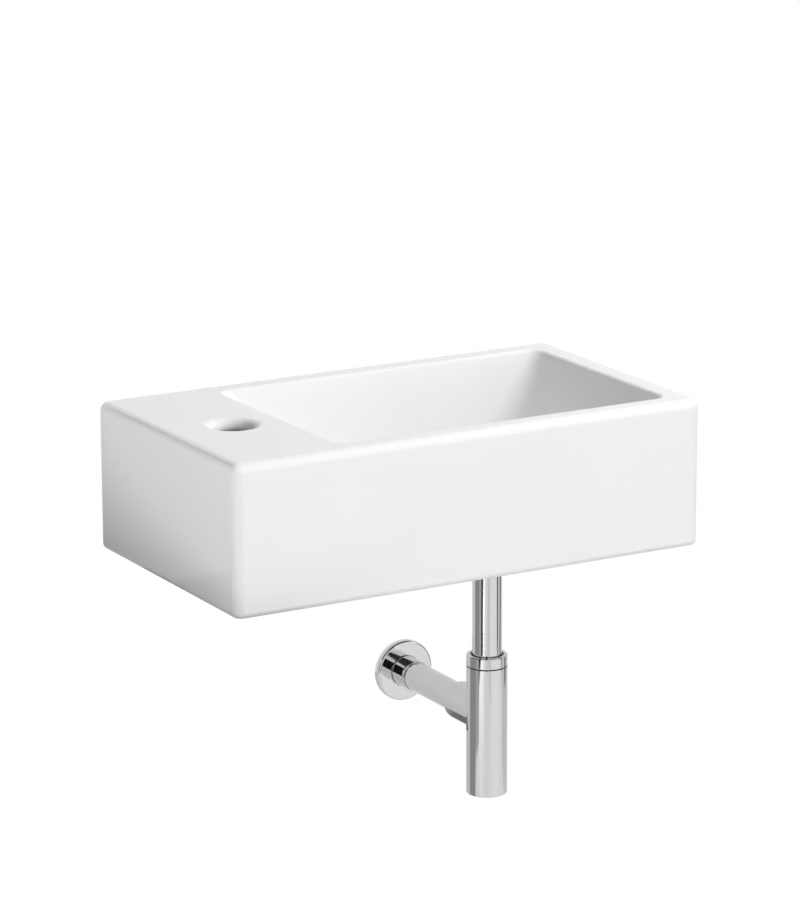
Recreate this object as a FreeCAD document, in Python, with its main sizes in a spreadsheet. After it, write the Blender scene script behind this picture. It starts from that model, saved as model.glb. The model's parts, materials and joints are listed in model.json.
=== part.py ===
import FreeCAD, Part
import Sketcher
import math
import os
import re
from FreeCAD import Vector

# A wall hung hand basin in glazed ceramic, with its wall fixings, push waste and chrome bottle trap.
# Frame: x to the right, y into the wall (the wall is the plane y = 0), z up, z = 0 at the wall fixings.

doc = FreeCAD.newDocument("wall_hung_basin")

# Driving sizes in millimetres. A size ending in _drop is measured down from the basin's top.
driving_sizes = {
    # ceramic
    "basin_width": 450,
    "basin_depth": 255,
    "basin_height": 130,
    "fixing_height": 20,
    "fixing_spacing": 280,
    "corner_radius": 9,
    "edge_radius": 8,
    "foot_radius": 5,
    "apron_thickness": 12,
    "apron_corner": 6,
    "deck_thickness": 16,
    "deck_width": 104,
    "rim_right": 22,
    "rim_front": 22,
    "rim_back": 23,
    "rim_radius": 4,
    "bowl_depth": 85,
    "bowl_shell": 11,
    "bowl_corner": 11,
    "floor_corner": 46,
    "floor_blend": 22,
    "run_left": 60,
    "run_right": 38,
    "run_front": 12,
    "run_back": 12,
    "tap_hole_diameter": 35,
    "tap_hole_flare": 8.5,
    "tap_from_side": 63,
    "tap_from_wall": 131,
    "fixing_hole_diameter": 14,
    # the place of the waste and trap
    "trap_right_of_centre": 74.5,
    "trap_from_wall": 150,
    # waste
    "drain_hole_diameter": 36,
    "recess_diameter": 58,
    "recess_depth": 4,
    "flange_diameter": 54,
    "flange_thickness": 4,
    "seat_diameter": 46,
    "seat_depth": 3.5,
    "waste_thread": 33.2,
    "waste_bore": 28.4,
    "waste_length": 55,
    "top_seal_thickness": 1.5,
    "bottom_seal_thickness": 3,
    "bottom_seal_width": 7,
    "locknut_thickness": 7,
    "locknut_flats": 44,
    "spider_depth": 27,
    "spider_thickness": 4,
    "spider_hub": 10,
    "spider_rib": 2.5,
    # push plug
    "cap_diameter": 44,
    "cap_thickness": 2.2,
    "cap_crown": 2.6,
    "cap_boss": 11,
    "cap_boss_length": 4,
    "plug_travel": 5,
    "plug_seal_diameter": 36,
    "plug_seal_width": 4,
    "plug_seal_thickness": 1.5,
    "barrel_diameter": 11,
    "barrel_length": 20,
    "barrel_floor": 2,
    "barrel_lip": 1.5,
    "barrel_bore": 8.6,
    "barrel_screw": 6,
    "stem_diameter": 5,
    "stem_collar_length": 6.5,
    "spring_wire": 0.7,
    "spring_turns": 3.5,
    # inlet coupling and tailpipe
    "tube_diameter": 26,
    "tube_wall": 1,
    "coupling_seal_thickness": 2,
    "pipe_collar_thickness": 2,
    "coupling_nut_flats": 39,
    "coupling_nut_grip": 12,
    "coupling_nut_lip": 3.5,
    "dip_clearance": 10.6,
    # trap
    "trap_diameter": 36,
    "trap_wall": 1.8,
    "collar_drop": 232.6,
    "collar_height": 10.4,
    "seam_gap": 0.3,
    "collar_lip": 2.8,
    "neck_thread": 33.6,
    "neck_wall": 1.6,
    "neck_height": 5.8,
    "collar_seal_height": 6,
    "slip_ring_thickness": 1.3,
    "mouth_gap": 0.6,
    "trap_drop": 359.6,
    "trap_edge": 0.8,
    "outlet_drop": 287.5,
    "branch_diameter": 34,
    "branch_end_from_wall": 104,
    "branch_edge": 1.2,
    "outlet_seal_wire": 2,
    "outlet_seal_inset": 6,
    "cleaning_plug_height": 9,
    "cleaning_wall": 3,
    "cleaning_slot_width": 2.5,
    "cleaning_slot_length": 20,
    "cleaning_slot_depth": 1.4,
    "cleaning_seal_wire": 1.6,
    # outlet
    "outlet_insertion": 26,
    "outlet_past_wall": 45,
    "spigot_length": 35,
    "spigot_step": 0.2,
    "sleeve_wall": 1,
    "sleeve_reach": 27.4,
    "sleeve_past_wall": 8,
    "rosette_diameter": 56,
    "rosette_depth": 7,
    "rosette_wall": 1.2,
    "rosette_edge": 1.1,
    "rosette_lip": 5,
    # wall fixings
    "bolt_diameter": 8,
    "bolt_thread_depth": 0.4,
    "bolt_inside": 30,
    "bolt_in_wall": 52,
    "bolt_point": 5,
    "bush_flange": 22,
    "bush_flange_thickness": 2,
    "washer_diameter": 17,
    "washer_thickness": 1.6,
    "nut_flats": 13,
    "nut_thickness": 6.5,
    # fits
    "sliding_fit": 0.1,
    "thread_fit": 0.1,
    "loose_fit": 0.3,
}

sheet = doc.addObject("Spreadsheet::Sheet", "sizes")
for row, (alias, number) in enumerate(driving_sizes.items(), start=1):
    sheet.set("A%d" % row, alias)
    sheet.set("B%d" % row, str(number))
    sheet.setAlias("B%d" % row, alias)
doc.recompute()

# Places and radii that several pieces share, worked out from the driving sizes.
places = {
    "top": "basin_height - fixing_height",
    "bottom": "-fixing_height",
    "floor_level": "top - bowl_depth",
    "underside": "floor_level - bowl_shell",
    "half_width": "basin_width / 2",
    "bowl_left": "deck_width - half_width",
    "bowl_right": "half_width - rim_right",
    "bowl_front": "rim_front - basin_depth",
    "bowl_back": "-rim_back",
    "tap_x": "tap_from_side - half_width",
    "drain_radius": "drain_hole_diameter / 2",
    "thread_radius": "waste_thread / 2",
    "nut_bore": "thread_radius + thread_fit",
    "waste_radius": "waste_bore / 2",
    "recess_floor": "floor_level - recess_depth",
    "flange_radius": "flange_diameter / 2",
    "flange_under": "recess_floor + top_seal_thickness",
    "flange_top": "flange_under + flange_thickness",
    "seat_floor": "flange_top - seat_depth",
    "seat_rise": "seat_depth * (plug_seal_diameter - waste_bore) / (seat_diameter - waste_bore)",
    "waste_end": "floor_level - waste_length",
    "spider_top": "floor_level - spider_depth",
    "spider_under": "spider_top - spider_thickness",
    "rib_reach": "(waste_radius + thread_radius) / 2",
    "barrel_top": "spider_top + barrel_length",
    "barrel_base": "spider_top + barrel_floor",
    "barrel_radius": "barrel_bore / 2",
    "stem_radius": "stem_diameter / 2",
    "stem_hole": "stem_radius + sliding_fit",
    "collar_radius": "barrel_radius - sliding_fit",
    "stem_shoulder": "barrel_top - barrel_lip - loose_fit",
    "stem_foot": "stem_shoulder - stem_collar_length",
    "plug_seal_radius": "plug_seal_diameter / 2",
    "seal_under": "seat_floor + seat_rise + loose_fit + plug_travel",
    "cap_under": "seal_under + plug_seal_thickness",
    "cap_rim": "cap_under + cap_thickness",
    "cap_foot": "cap_under - cap_boss_length",
    "cap_radius": "cap_diameter / 2",
    "dome_radius": "(cap_radius ^ 2 + cap_crown ^ 2) / (2 * cap_crown)",
    "locknut_top": "underside - bottom_seal_thickness",
    "pipe_top": "waste_end - coupling_seal_thickness",
    "lip_top": "pipe_top - pipe_collar_thickness",
    "coupling_top": "waste_end + coupling_nut_grip",
    "coupling_end": "lip_top - coupling_nut_lip",
    "tube_radius": "tube_diameter / 2",
    "tube_bore": "tube_radius - tube_wall",
    "pipe_collar": "thread_radius - loose_fit",
    "slide_radius": "tube_radius + sliding_fit",
    "dip_foot": "cleaning_top + dip_clearance",
    "trap_radius": "trap_diameter / 2",
    "trap_bore": "trap_radius - trap_wall",
    "trap_foot": "top - trap_drop",
    "mouth": "top - collar_drop",
    "mouth_hole": "tube_radius + mouth_gap",
    "seam": "mouth - collar_height",
    "collar_foot": "seam + seam_gap",
    "lip_under": "mouth - collar_lip",
    "collar_thread": "neck_radius + thread_fit",
    "ring_top": "lip_under - loose_fit",
    "ring_under": "ring_top - slip_ring_thickness",
    "neck_top": "seam + neck_height",
    "neck_radius": "neck_thread / 2",
    "neck_bore": "neck_radius - neck_wall",
    "seal_radius": "neck_bore - loose_fit",
    "seal_ledge": "neck_top - collar_seal_height",
    "ledge_bore": "slide_radius + loose_fit",
    "ledge_under": "seal_ledge - neck_wall",
    "outlet_axis": "top - outlet_drop",
    "branch_radius": "branch_diameter / 2",
    "branch_length": "trap_from_wall - branch_end_from_wall",
    "outlet_groove": "slide_radius + outlet_seal_wire + thread_fit",
    "outlet_seal_place": "outlet_seal_inset + outlet_seal_wire / 2 + thread_fit",
    "cleaning_radius": "trap_bore - loose_fit",
    "cleaning_bore": "cleaning_groove - cleaning_wall / 2",
    "cleaning_top": "trap_foot + cleaning_plug_height",
    "cleaning_seal_level": "trap_foot + cleaning_plug_height / 2",
    "cleaning_groove": "trap_bore - sliding_fit - cleaning_seal_wire - thread_fit",
    "cleaning_groove_half": "cleaning_seal_wire / 2 + thread_fit",
    "outlet_start": "-branch_end_from_wall - outlet_insertion",
    "spigot_radius": "tube_radius - spigot_step",
    "spigot_start": "outlet_past_wall - spigot_length",
    "sleeve_radius": "slide_radius + sleeve_wall",
    "rosette_radius": "rosette_diameter / 2",
    "rosette_hole": "sleeve_radius + loose_fit",
    "rosette_back": "rosette_wall - rosette_depth",
    "bolt_x": "fixing_spacing / 2",
    "bolt_radius": "bolt_diameter / 2",
    "bolt_thread": "bolt_radius - bolt_thread_depth",
    "bolt_gap": "bolt_radius + loose_fit",
    "bush_radius": "fixing_hole_diameter / 2 - loose_fit",
    "bush_face": "-apron_thickness - bush_flange_thickness",
    "washer_face": "bush_face - washer_thickness",
}


def bound(text):
    """The sum in text with shared places written out and every size pointing at the sheet."""
    def point(match):
        word = match.group(0)
        if word in places:
            return "(" + bound(places[word]) + ")"
        return "sizes." + word if word in driving_sizes else word
    return re.sub(r"[a-z_]+", point, str(text))


def value(text):
    """The number that the sum in text comes to."""
    return float(sheet.evalExpression(bound(text)))


# ---------------------------------------------------------------- drawing helpers

def new_body(label, at=("0", "0", "0")):
    body = doc.addObject("PartDesign::Body", label)
    body.Label = label
    for axis, distance in zip("xyz", at):
        body.setExpression("Placement.Base." + axis, bound(distance))
    return body


def origin_item(body, role):
    return next(item for item in body.Origin.OriginFeatures if item.Role == role)


def new_sketch(body, name, plane, offset="0"):
    sketch = body.newObject("Sketcher::SketchObject", name)
    sketch.AttachmentSupport = [(origin_item(body, plane), "")]
    sketch.MapMode = "FlatFace"
    sketch.setExpression("AttachmentOffset.Base.z", bound(offset))
    return sketch


def bind(sketch, constraint, text):
    index = sketch.addConstraint(constraint)
    sketch.setExpression("Constraints[%d]" % index, bound(text))


def pin_point(sketch, item, end, across, up):
    """Hold one point of the sketch at (across, up), both sums of sizes."""
    for kind, text, axis in (("DistanceX", across, -2), ("DistanceY", up, -1)):
        distance = value(text)
        if abs(distance) < 1e-9:
            sketch.addConstraint(Sketcher.Constraint("PointOnObject", item, end, axis))
        else:
            bind(sketch, Sketcher.Constraint(kind, -1, 1, item, end, distance), text)


def outward_arc(start, end, radius):
    """The arc from start to end that swells away from an outline drawn anticlockwise."""
    chord = end - start
    inward = Vector(-chord.y, chord.x, 0).normalize()
    centre = (start + end) * 0.5 + inward * math.sqrt(radius ** 2 - chord.Length ** 2 / 4)
    angles = [math.atan2(point.y - centre.y, point.x - centre.x) for point in (start, end)]
    return Part.ArcOfCircle(Part.Circle(centre, Vector(0, 0, 1), radius), *angles)


def draw_outline(sketch, corners, arcs=None):
    """A closed outline through corners, each a pair of sums.

    Its sides are straight, but arcs gives the radius of each side that is an arc, by the side's first corner.
    """
    arcs = arcs or {}
    points = [Vector(value(across), value(up), 0) for across, up in corners]
    first = sketch.GeometryCount
    count = len(points)
    for index in range(count):
        start, end = points[index], points[(index + 1) % count]
        if index in arcs:
            sketch.addGeometry(outward_arc(start, end, value(arcs[index])))
        else:
            sketch.addGeometry(Part.LineSegment(start, end))
    for index in range(count):
        following = first + (index + 1) % count
        sketch.addConstraint(Sketcher.Constraint("Coincident", first + index, 2, following, 1))
    for index, (across, up) in enumerate(corners):
        pin_point(sketch, first + index, 1, across, up)
    for index, radius in arcs.items():
        bind(sketch, Sketcher.Constraint("Radius", first + index, value(radius)), radius)


def draw_circle(sketch, across, up, radius):
    centre = Vector(value(across), value(up), 0)
    item = sketch.addGeometry(Part.Circle(centre, Vector(0, 0, 1), value(radius)))
    pin_point(sketch, item, 3, across, up)
    bind(sketch, Sketcher.Constraint("Radius", item, value(radius)), radius)


def draw_hexagon(sketch, flats):
    """A hexagon about the sketch's centre, measured across its flats."""
    half = flats + " / 2"
    corner = half + " / cos(30)"
    draw_outline(sketch, [
        (corner, "0"), (corner + " / 2", half), ("-" + corner + " / 2", half),
        ("-" + corner, "0"), ("-" + corner + " / 2", "-" + half), (corner + " / 2", "-" + half),
    ])


def draw_rounded_rectangle(sketch, left, right, front, back, radius):
    """Four sides and four corner arcs, joined tangentially; front is the low side."""
    x0, x1, y0, y1, r = (value(text) for text in (left, right, front, back, radius))
    sides = [
        ((x0 + r, y0), (x1 - r, y0)), ((x1, y0 + r), (x1, y1 - r)),
        ((x1 - r, y1), (x0 + r, y1)), ((x0, y1 - r), (x0, y0 + r)),
    ]
    centres = [(x1 - r, y0 + r), (x1 - r, y1 - r), (x0 + r, y1 - r), (x0 + r, y0 + r)]
    quarter = math.pi / 2
    for index, ((start, end), centre) in enumerate(zip(sides, centres)):
        circle = Part.Circle(Vector(*centre, 0), Vector(0, 0, 1), r)
        sketch.addGeometry(Part.LineSegment(Vector(*start, 0), Vector(*end, 0)))
        sketch.addGeometry(Part.ArcOfCircle(circle, (index - 1) * quarter, index * quarter))
    for index in range(4):
        line, arc = 2 * index, 2 * index + 1
        sketch.addConstraint(Sketcher.Constraint("Tangent", line, 2, arc, 1))
        sketch.addConstraint(Sketcher.Constraint("Tangent", arc, 2, (line + 2) % 8, 1))
        sketch.addConstraint(Sketcher.Constraint("Horizontal" if index % 2 == 0 else "Vertical", line))
        if index:
            sketch.addConstraint(Sketcher.Constraint("Equal", 1, arc))
    bind(sketch, Sketcher.Constraint("Radius", 1, r), radius)
    for kind, line, text in (("DistanceY", 0, front), ("DistanceX", 2, right),
                             ("DistanceY", 4, back), ("DistanceX", 6, left)):
        bind(sketch, Sketcher.Constraint(kind, -1, 1, line, 1, value(text)), text)


def feature(body, kind, name, profile, **settings):
    """A feature made from a sketch; settings given as text become expressions."""
    made = body.newObject("PartDesign::" + kind, name)
    made.Profile = profile
    for key, setting in settings.items():
        if isinstance(setting, str):
            made.setExpression(key, bound(setting))
        else:
            setattr(made, key, setting)
    body.Tip = made
    doc.recompute()
    return made


def turned(body, name, corners, kind="Revolution", arcs=None):
    """Turn an outline of (radius, height) corners about the body's upright axis."""
    sketch = new_sketch(body, name + "_profile", "XZ_Plane")
    draw_outline(sketch, corners, arcs)
    return feature(body, kind, name, sketch, ReferenceAxis=(sketch, ["V_Axis"]), Angle=360.0)


def turned_to_wall(body, name, corners):
    """Turn an outline of (radius, distance) corners about the body's axis into the wall."""
    sketch = new_sketch(body, name + "_profile", "XY_Plane")
    draw_outline(sketch, corners)
    return feature(body, "Revolution", name, sketch, ReferenceAxis=(sketch, ["V_Axis"]), Angle=360.0)


def tube_outline(inner, outer, low, high):
    return [(inner, low), (outer, low), (outer, high), (inner, high)]


def loft(body, kind, name, sections):
    made = body.newObject("PartDesign::" + kind, name)
    made.Profile = sections[0]
    made.Sections = sections[1:]
    made.Ruled = True
    body.Tip = made
    doc.recompute()
    return made


def ease(body, name, base, size, chosen, kind="Fillet"):
    """Round or chamfer the edges of base that chosen(edge) picks."""
    edges = ["Edge%d" % (index + 1) for index, edge in enumerate(base.Shape.Edges) if chosen(edge)]
    made = body.newObject("PartDesign::" + kind, name)
    made.Base = (base, edges)
    made.setExpression("Radius" if kind == "Fillet" else "Size", bound(size))
    body.Tip = made
    doc.recompute()
    return made


def at_height(height, low=None, high=None):
    """Choose the edges that lie level at this height, inside the rectangle from low to high."""
    level = value(height)

    def chosen(edge):
        box = edge.BoundBox
        if max(abs(box.ZMin - level), abs(box.ZMax - level)) > 0.01:
            return False
        if low is None:
            return True
        return box.XMin > low[0] and box.YMin > low[1] and box.XMax < high[0] and box.YMax < high[1]
    return chosen


def ring_at(radius, distance, axis="Z"):
    """Choose the circle of this radius about the body's own axis, at this distance along it."""
    size, place = value(radius), value(distance)

    def chosen(edge):
        box = edge.BoundBox
        near, far = getattr(box, axis + "Min"), getattr(box, axis + "Max")
        return max(abs(near - place), abs(far - place), abs(box.XMax - size), abs(box.XMin + size)) < 0.01
    return chosen


# ---------------------------------------------------------------- ceramic

def bowl_section(body, name, level, growth):
    """The bowl's plan at one level: its walls run in and its corners open out as it gets deeper."""
    share = "(top - (" + level + ")) / bowl_depth"
    sketch = new_sketch(body, name, "XY_Plane", level)
    draw_rounded_rectangle(
        sketch,
        "bowl_left + run_left * " + share + " - " + growth,
        "bowl_right - run_right * " + share + " + " + growth,
        "bowl_front + run_front * " + share + " - " + growth,
        "bowl_back - run_back * " + share + " + " + growth,
        "bowl_corner + (floor_corner - bowl_corner) * " + share + " + " + growth,
    )
    return sketch


def make_block(body):
    plan = new_sketch(body, "block_plan", "XY_Plane", "bottom")
    draw_rounded_rectangle(plan, "-half_width", "half_width", "-basin_depth", "0", "corner_radius")
    block = feature(body, "Pad", "block", plan, Length="basin_height")
    shoulders = ease(body, "top_edges", block, "edge_radius", at_height("top"))
    ease(body, "bottom_edges", shoulders, "foot_radius", at_height("bottom"))
    hollow = new_sketch(body, "hollow_plan", "XY_Plane", "bottom")
    draw_rounded_rectangle(
        hollow, "apron_thickness - half_width", "half_width - apron_thickness",
        "apron_thickness - basin_depth", "-apron_thickness", "apron_corner",
    )
    feature(body, "Pocket", "underside_hollow", hollow, Length="basin_height - deck_thickness", Reversed=True)


def make_bowl(body):
    shell = loft(body, "AdditiveLoft", "bowl_outside", [
        bowl_section(body, "shell_top", "top - deck_thickness / 2", "bowl_shell"),
        bowl_section(body, "shell_bottom", "underside", "bowl_shell"),
    ])
    ease(body, "shell_blend", shell, "floor_blend + bowl_shell", at_height("underside"))
    bowl = loft(body, "SubtractiveLoft", "bowl_inside", [
        bowl_section(body, "bowl_rim", "top", "0"),
        bowl_section(body, "bowl_floor", "floor_level", "0"),
    ])
    blended = ease(body, "floor_blends", bowl, "floor_blend", at_height("floor_level"))
    low = (value("bowl_left - 1"), value("bowl_front - 1"))
    high = (value("bowl_right + 1"), value("bowl_back + 1"))
    ease(body, "rim_edge", blended, "rim_radius", at_height("top", low, high))


def round_hole(body, name, plane, offset, across, up, radius, depth, **settings):
    plan = new_sketch(body, name + "_plan", plane, offset)
    draw_circle(plan, across, up, radius)
    return feature(body, "Pocket", name, plan, Length=depth, **settings)


def make_basin():
    body = new_body("basin")
    make_block(body)
    make_bowl(body)
    drain = ("trap_right_of_centre", "-trap_from_wall")
    round_hole(body, "drain_hole", "XY_Plane", "floor_level", *drain, "drain_radius", "bowl_shell + 1")
    round_hole(body, "drain_recess", "XY_Plane", "floor_level", *drain, "recess_diameter / 2", "recess_depth")
    tap_radius = "tap_hole_diameter / 2"
    tap_hole = round_hole(body, "tap_hole", "XY_Plane", "top", "tap_x", "-tap_from_wall", tap_radius,
                          "deck_thickness + 1")
    reach = value(tap_radius) + 1
    low = (value("tap_x") - reach, value("-tap_from_wall") - reach)
    high = (value("tap_x") + reach, value("-tap_from_wall") + reach)
    ease(body, "tap_flare", tap_hole, "tap_hole_flare", at_height("top", low, high))
    right_hole = round_hole(body, "fixing_hole", "XZ_Plane", "0", "bolt_x", "0", "fixing_hole_diameter / 2",
                            "apron_thickness + 1", Reversed=True)
    both = body.newObject("PartDesign::Mirrored", "fixing_holes")
    both.Originals = [right_hole]
    both.MirrorPlane = (origin_item(body, "YZ_Plane"), [""])
    body.Tip = both
    doc.recompute()
    return body


# ---------------------------------------------------------------- wall fixings

def pair(label, piece):
    """The same piece at both fixing holes, as one node of two solids."""
    twin = doc.addObject("Part::Mirroring", label + "_twin")
    twin.Source = piece
    twin.Normal = Vector(1, 0, 0)
    both = doc.addObject("Part::Compound", label)
    both.Links = [piece, twin]
    both.Label = label
    return both


def make_fixings():
    at_hole = ("bolt_x", "0", "0")
    bolt = new_body("right_bolt", at_hole)
    turned_to_wall(bolt, "bolt_turned", [
        ("0", "-bolt_inside"), ("bolt_thread - 1", "-bolt_inside"), ("bolt_thread", "1 - bolt_inside"),
        ("bolt_thread", "0"), ("bolt_radius", "0"), ("bolt_radius", "bolt_in_wall - bolt_point"),
        ("bolt_radius / 4", "bolt_in_wall"), ("0", "bolt_in_wall"),
    ])
    bush = new_body("right_bush", at_hole)
    turned_to_wall(bush, "bush_turned", [
        ("bolt_gap", "bush_face"), ("bush_flange / 2", "bush_face"), ("bush_flange / 2", "-apron_thickness"),
        ("bush_radius", "-apron_thickness"), ("bush_radius", "-loose_fit"), ("bolt_gap", "-loose_fit"),
    ])
    washer = new_body("right_washer", at_hole)
    turned_to_wall(washer, "washer_turned", tube_outline(
        "bolt_gap", "washer_diameter / 2", "washer_face", "bush_face"))
    nut = new_body("right_nut", ("bolt_x", "washer_face", "0"))
    plan = new_sketch(nut, "nut_plan", "XZ_Plane")
    draw_hexagon(plan, "nut_flats")
    draw_circle(plan, "0", "0", "bolt_thread + thread_fit")
    feature(nut, "Pad", "nut_hexagon", plan, Length="nut_thickness")
    return [
        pair("hanger_bolts", bolt), pair("fixing_bushes", bush), pair("fixing_washers", washer),
        pair("fixing_nuts", nut),
    ]


# ---------------------------------------------------------------- waste and push plug

on_trap = ("trap_right_of_centre", "-trap_from_wall", "0")


def hexagon_nut(body, name, flats, bore, foot, thickness):
    plan = new_sketch(body, name + "_plan", "XY_Plane", foot)
    draw_hexagon(plan, flats)
    draw_circle(plan, "0", "0", bore)
    return feature(body, "Pad", name, plan, Length=thickness)


def make_flange():
    """The waste's dished flange and threaded tail, with a three-armed spider across the bore."""
    body = new_body("waste_flange", on_trap)
    turned(body, "flange_turned", [
        ("waste_radius", "waste_end"), ("thread_radius", "waste_end"), ("thread_radius", "flange_under"),
        ("flange_radius", "flange_under"), ("flange_radius", "flange_top - 1"),
        ("flange_radius - 1", "flange_top"),
        ("seat_diameter / 2", "flange_top"), ("waste_radius", "seat_floor"),
    ])
    rib = new_sketch(body, "spider_rib_plan", "XY_Plane", "spider_under")
    draw_outline(rib, [
        ("0", "-spider_rib / 2"), ("rib_reach", "-spider_rib / 2"),
        ("rib_reach", "spider_rib / 2"), ("0", "spider_rib / 2"),
    ])
    hub = new_sketch(body, "spider_hub_plan", "XY_Plane", "spider_under")
    draw_circle(hub, "0", "0", "spider_hub / 2")
    arm = feature(body, "Pad", "spider_arm", rib, Length="spider_thickness")
    arms = body.newObject("PartDesign::PolarPattern", "spider_arms")
    arms.Originals = [arm]
    arms.Axis = (origin_item(body, "Z_Axis"), [""])
    arms.Angle = 360
    arms.Occurrences = 3
    body.Tip = arms
    doc.recompute()
    feature(body, "Pad", "spider_centre", hub, Length="spider_thickness")
    round_hole(body, "spider_thread", "XY_Plane", "spider_top", "0", "0", "barrel_screw / 2 + thread_fit",
               "spider_thickness")
    return body


def make_waste():
    top_seal = new_body("waste_top_seal", on_trap)
    turned(top_seal, "top_seal_ring", tube_outline(
        "drain_radius", "flange_radius", "recess_floor", "flange_under"))
    bottom_seal = new_body("waste_bottom_seal", on_trap)
    turned(bottom_seal, "bottom_seal_ring", tube_outline(
        "nut_bore", "nut_bore + bottom_seal_width", "locknut_top", "underside"))
    locknut = new_body("waste_locknut", on_trap)
    hexagon_nut(locknut, "locknut_hexagon", "locknut_flats", "nut_bore", "locknut_top - locknut_thickness",
                "locknut_thickness")
    return [make_flange(), top_seal, bottom_seal, locknut]


def make_spring():
    """The plug's coil spring: a wire swept along a helix from the barrel's floor to the stem."""
    wire = value("spring_wire / 2")
    radius = value("collar_radius - spring_wire")
    foot = value("barrel_base") + wire
    rise = value("stem_foot") - wire - foot
    helix = Part.makeHelix(rise / value("spring_turns"), rise, radius)
    section = Part.makePolygon([
        Vector(radius + across * wire, 0, up * wire)
        for across, up in ((-1, -1), (1, -1), (1, 1), (-1, 1), (-1, -1))
    ])
    spring = doc.addObject("Part::Feature", "plug_spring")
    spring.Label = "plug_spring"
    spring.Shape = Part.Wire(helix.Edges).makePipeShell([section], True, True)
    spring.Placement.Base = Vector(value("trap_right_of_centre"), value("-trap_from_wall"), foot)
    return spring


def make_plug():
    barrel = new_body("plug_barrel", on_trap)
    turned(barrel, "barrel_turned", [
        ("0", "spider_under"), ("barrel_screw / 2", "spider_under"), ("barrel_screw / 2", "spider_top"),
        ("barrel_diameter / 2", "spider_top"), ("barrel_diameter / 2", "barrel_top"),
        ("stem_hole", "barrel_top"), ("stem_hole", "barrel_top - barrel_lip"),
        ("barrel_radius", "barrel_top - barrel_lip"),
        ("barrel_radius", "barrel_base"), ("0", "barrel_base"),
    ])
    stem = new_body("plug_stem", on_trap)
    turned(stem, "stem_turned", [
        ("0", "stem_foot"), ("collar_radius", "stem_foot"), ("collar_radius", "stem_shoulder"),
        ("stem_radius", "stem_shoulder"), ("stem_radius", "cap_under"), ("0", "cap_under"),
    ])
    cap = new_body("plug_cap", on_trap)
    turned(cap, "cap_turned", [
        ("stem_radius + thread_fit", "cap_foot"), ("cap_boss / 2", "cap_foot"),
        ("cap_boss / 2", "cap_under"), ("cap_radius", "cap_under"), ("cap_radius", "cap_rim"),
        ("0", "cap_rim + cap_crown"), ("0", "cap_under"), ("stem_radius + thread_fit", "cap_under"),
    ], arcs={4: "dome_radius"})
    seal = new_body("plug_seal", on_trap)
    turned(seal, "plug_seal_ring", tube_outline(
        "plug_seal_radius - plug_seal_width", "plug_seal_radius", "seal_under", "cap_under"))
    return [barrel, make_spring(), stem, cap, seal]


# ---------------------------------------------------------------- tailpipe and trap

def make_inlet():
    nut = new_body("coupling_nut", on_trap)
    hexagon_nut(nut, "coupling_hexagon", "coupling_nut_flats", "tube_radius + loose_fit", "coupling_end",
                "coupling_top - coupling_end")
    round_hole(nut, "coupling_thread", "XY_Plane", "coupling_top", "0", "0", "nut_bore",
               "coupling_top - lip_top")
    seal = new_body("coupling_seal", on_trap)
    turned(seal, "coupling_seal_ring", tube_outline("tube_bore", "pipe_collar", "pipe_top", "waste_end"))
    pipe = new_body("tailpipe", on_trap)
    turned(pipe, "tailpipe_turned", [
        ("tube_bore", "dip_foot"), ("tube_radius", "dip_foot"), ("tube_radius", "lip_top"),
        ("pipe_collar", "lip_top"), ("pipe_collar", "pipe_top"), ("tube_bore", "pipe_top"),
    ])
    return [nut, seal, pipe]


def make_collar():
    nut = new_body("collar_nut", on_trap)
    turned_nut = turned(nut, "collar_turned", [
        ("collar_thread", "collar_foot"), ("trap_radius", "collar_foot"), ("trap_radius", "mouth"),
        ("mouth_hole", "mouth"), ("mouth_hole", "lip_under"), ("collar_thread", "lip_under"),
    ])
    ease(nut, "collar_edge", turned_nut, "trap_edge", ring_at("trap_radius", "mouth"), "Chamfer")
    ring = new_body("slip_ring", on_trap)
    turned(ring, "slip_ring_turned", tube_outline(
        "slide_radius", "neck_radius - loose_fit", "ring_under", "ring_top"))
    seal = new_body("collar_seal", on_trap)
    turned(seal, "collar_seal_turned", [
        ("slide_radius", "seal_ledge"), ("seal_radius - 1", "seal_ledge"), ("seal_radius", "seal_ledge + 1"),
        ("seal_radius", "ring_under"), ("slide_radius", "ring_under"),
    ])
    return [nut, ring, seal]


def make_trap_body():
    """A tee: the upright bottle with a threaded neck, and the branch that holds the outlet pipe."""
    body = new_body("trap_body", on_trap)
    turned(body, "bottle", [
        ("0", "trap_foot"), ("trap_radius", "trap_foot"), ("trap_radius", "seam"), ("neck_radius", "seam"),
        ("neck_radius", "neck_top"), ("0", "neck_top"),
    ])
    branch_plan = new_sketch(body, "branch_plan", "XZ_Plane", "-branch_length")
    draw_circle(branch_plan, "0", "outlet_axis", "branch_radius")
    feature(body, "Pad", "branch", branch_plan, Length="branch_length")
    turned(body, "bottle_bore", [
        ("0", "trap_foot"), ("trap_bore", "trap_foot"), ("trap_bore", "ledge_under - neck_wall"),
        ("ledge_bore", "ledge_under"), ("ledge_bore", "seal_ledge"), ("neck_bore", "seal_ledge"),
        ("neck_bore", "neck_top"), ("0", "neck_top"),
    ], "Groove")
    round_hole(body, "branch_bore", "XZ_Plane", "-branch_length", "0", "outlet_axis", "slide_radius",
               "branch_length", Reversed=True)
    grooved = round_hole(body, "branch_groove", "XZ_Plane", "outlet_seal_inset - branch_length", "0",
                         "outlet_axis", "outlet_groove", "outlet_seal_wire + 2 * thread_fit", Reversed=True)
    rounded = ease(body, "branch_rim", grooved, "branch_edge", ring_at("branch_radius", "branch_length", "Y"))
    ease(body, "bottle_foot", rounded, "trap_edge", ring_at("trap_radius", "trap_foot"), "Chamfer")
    return body


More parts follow.
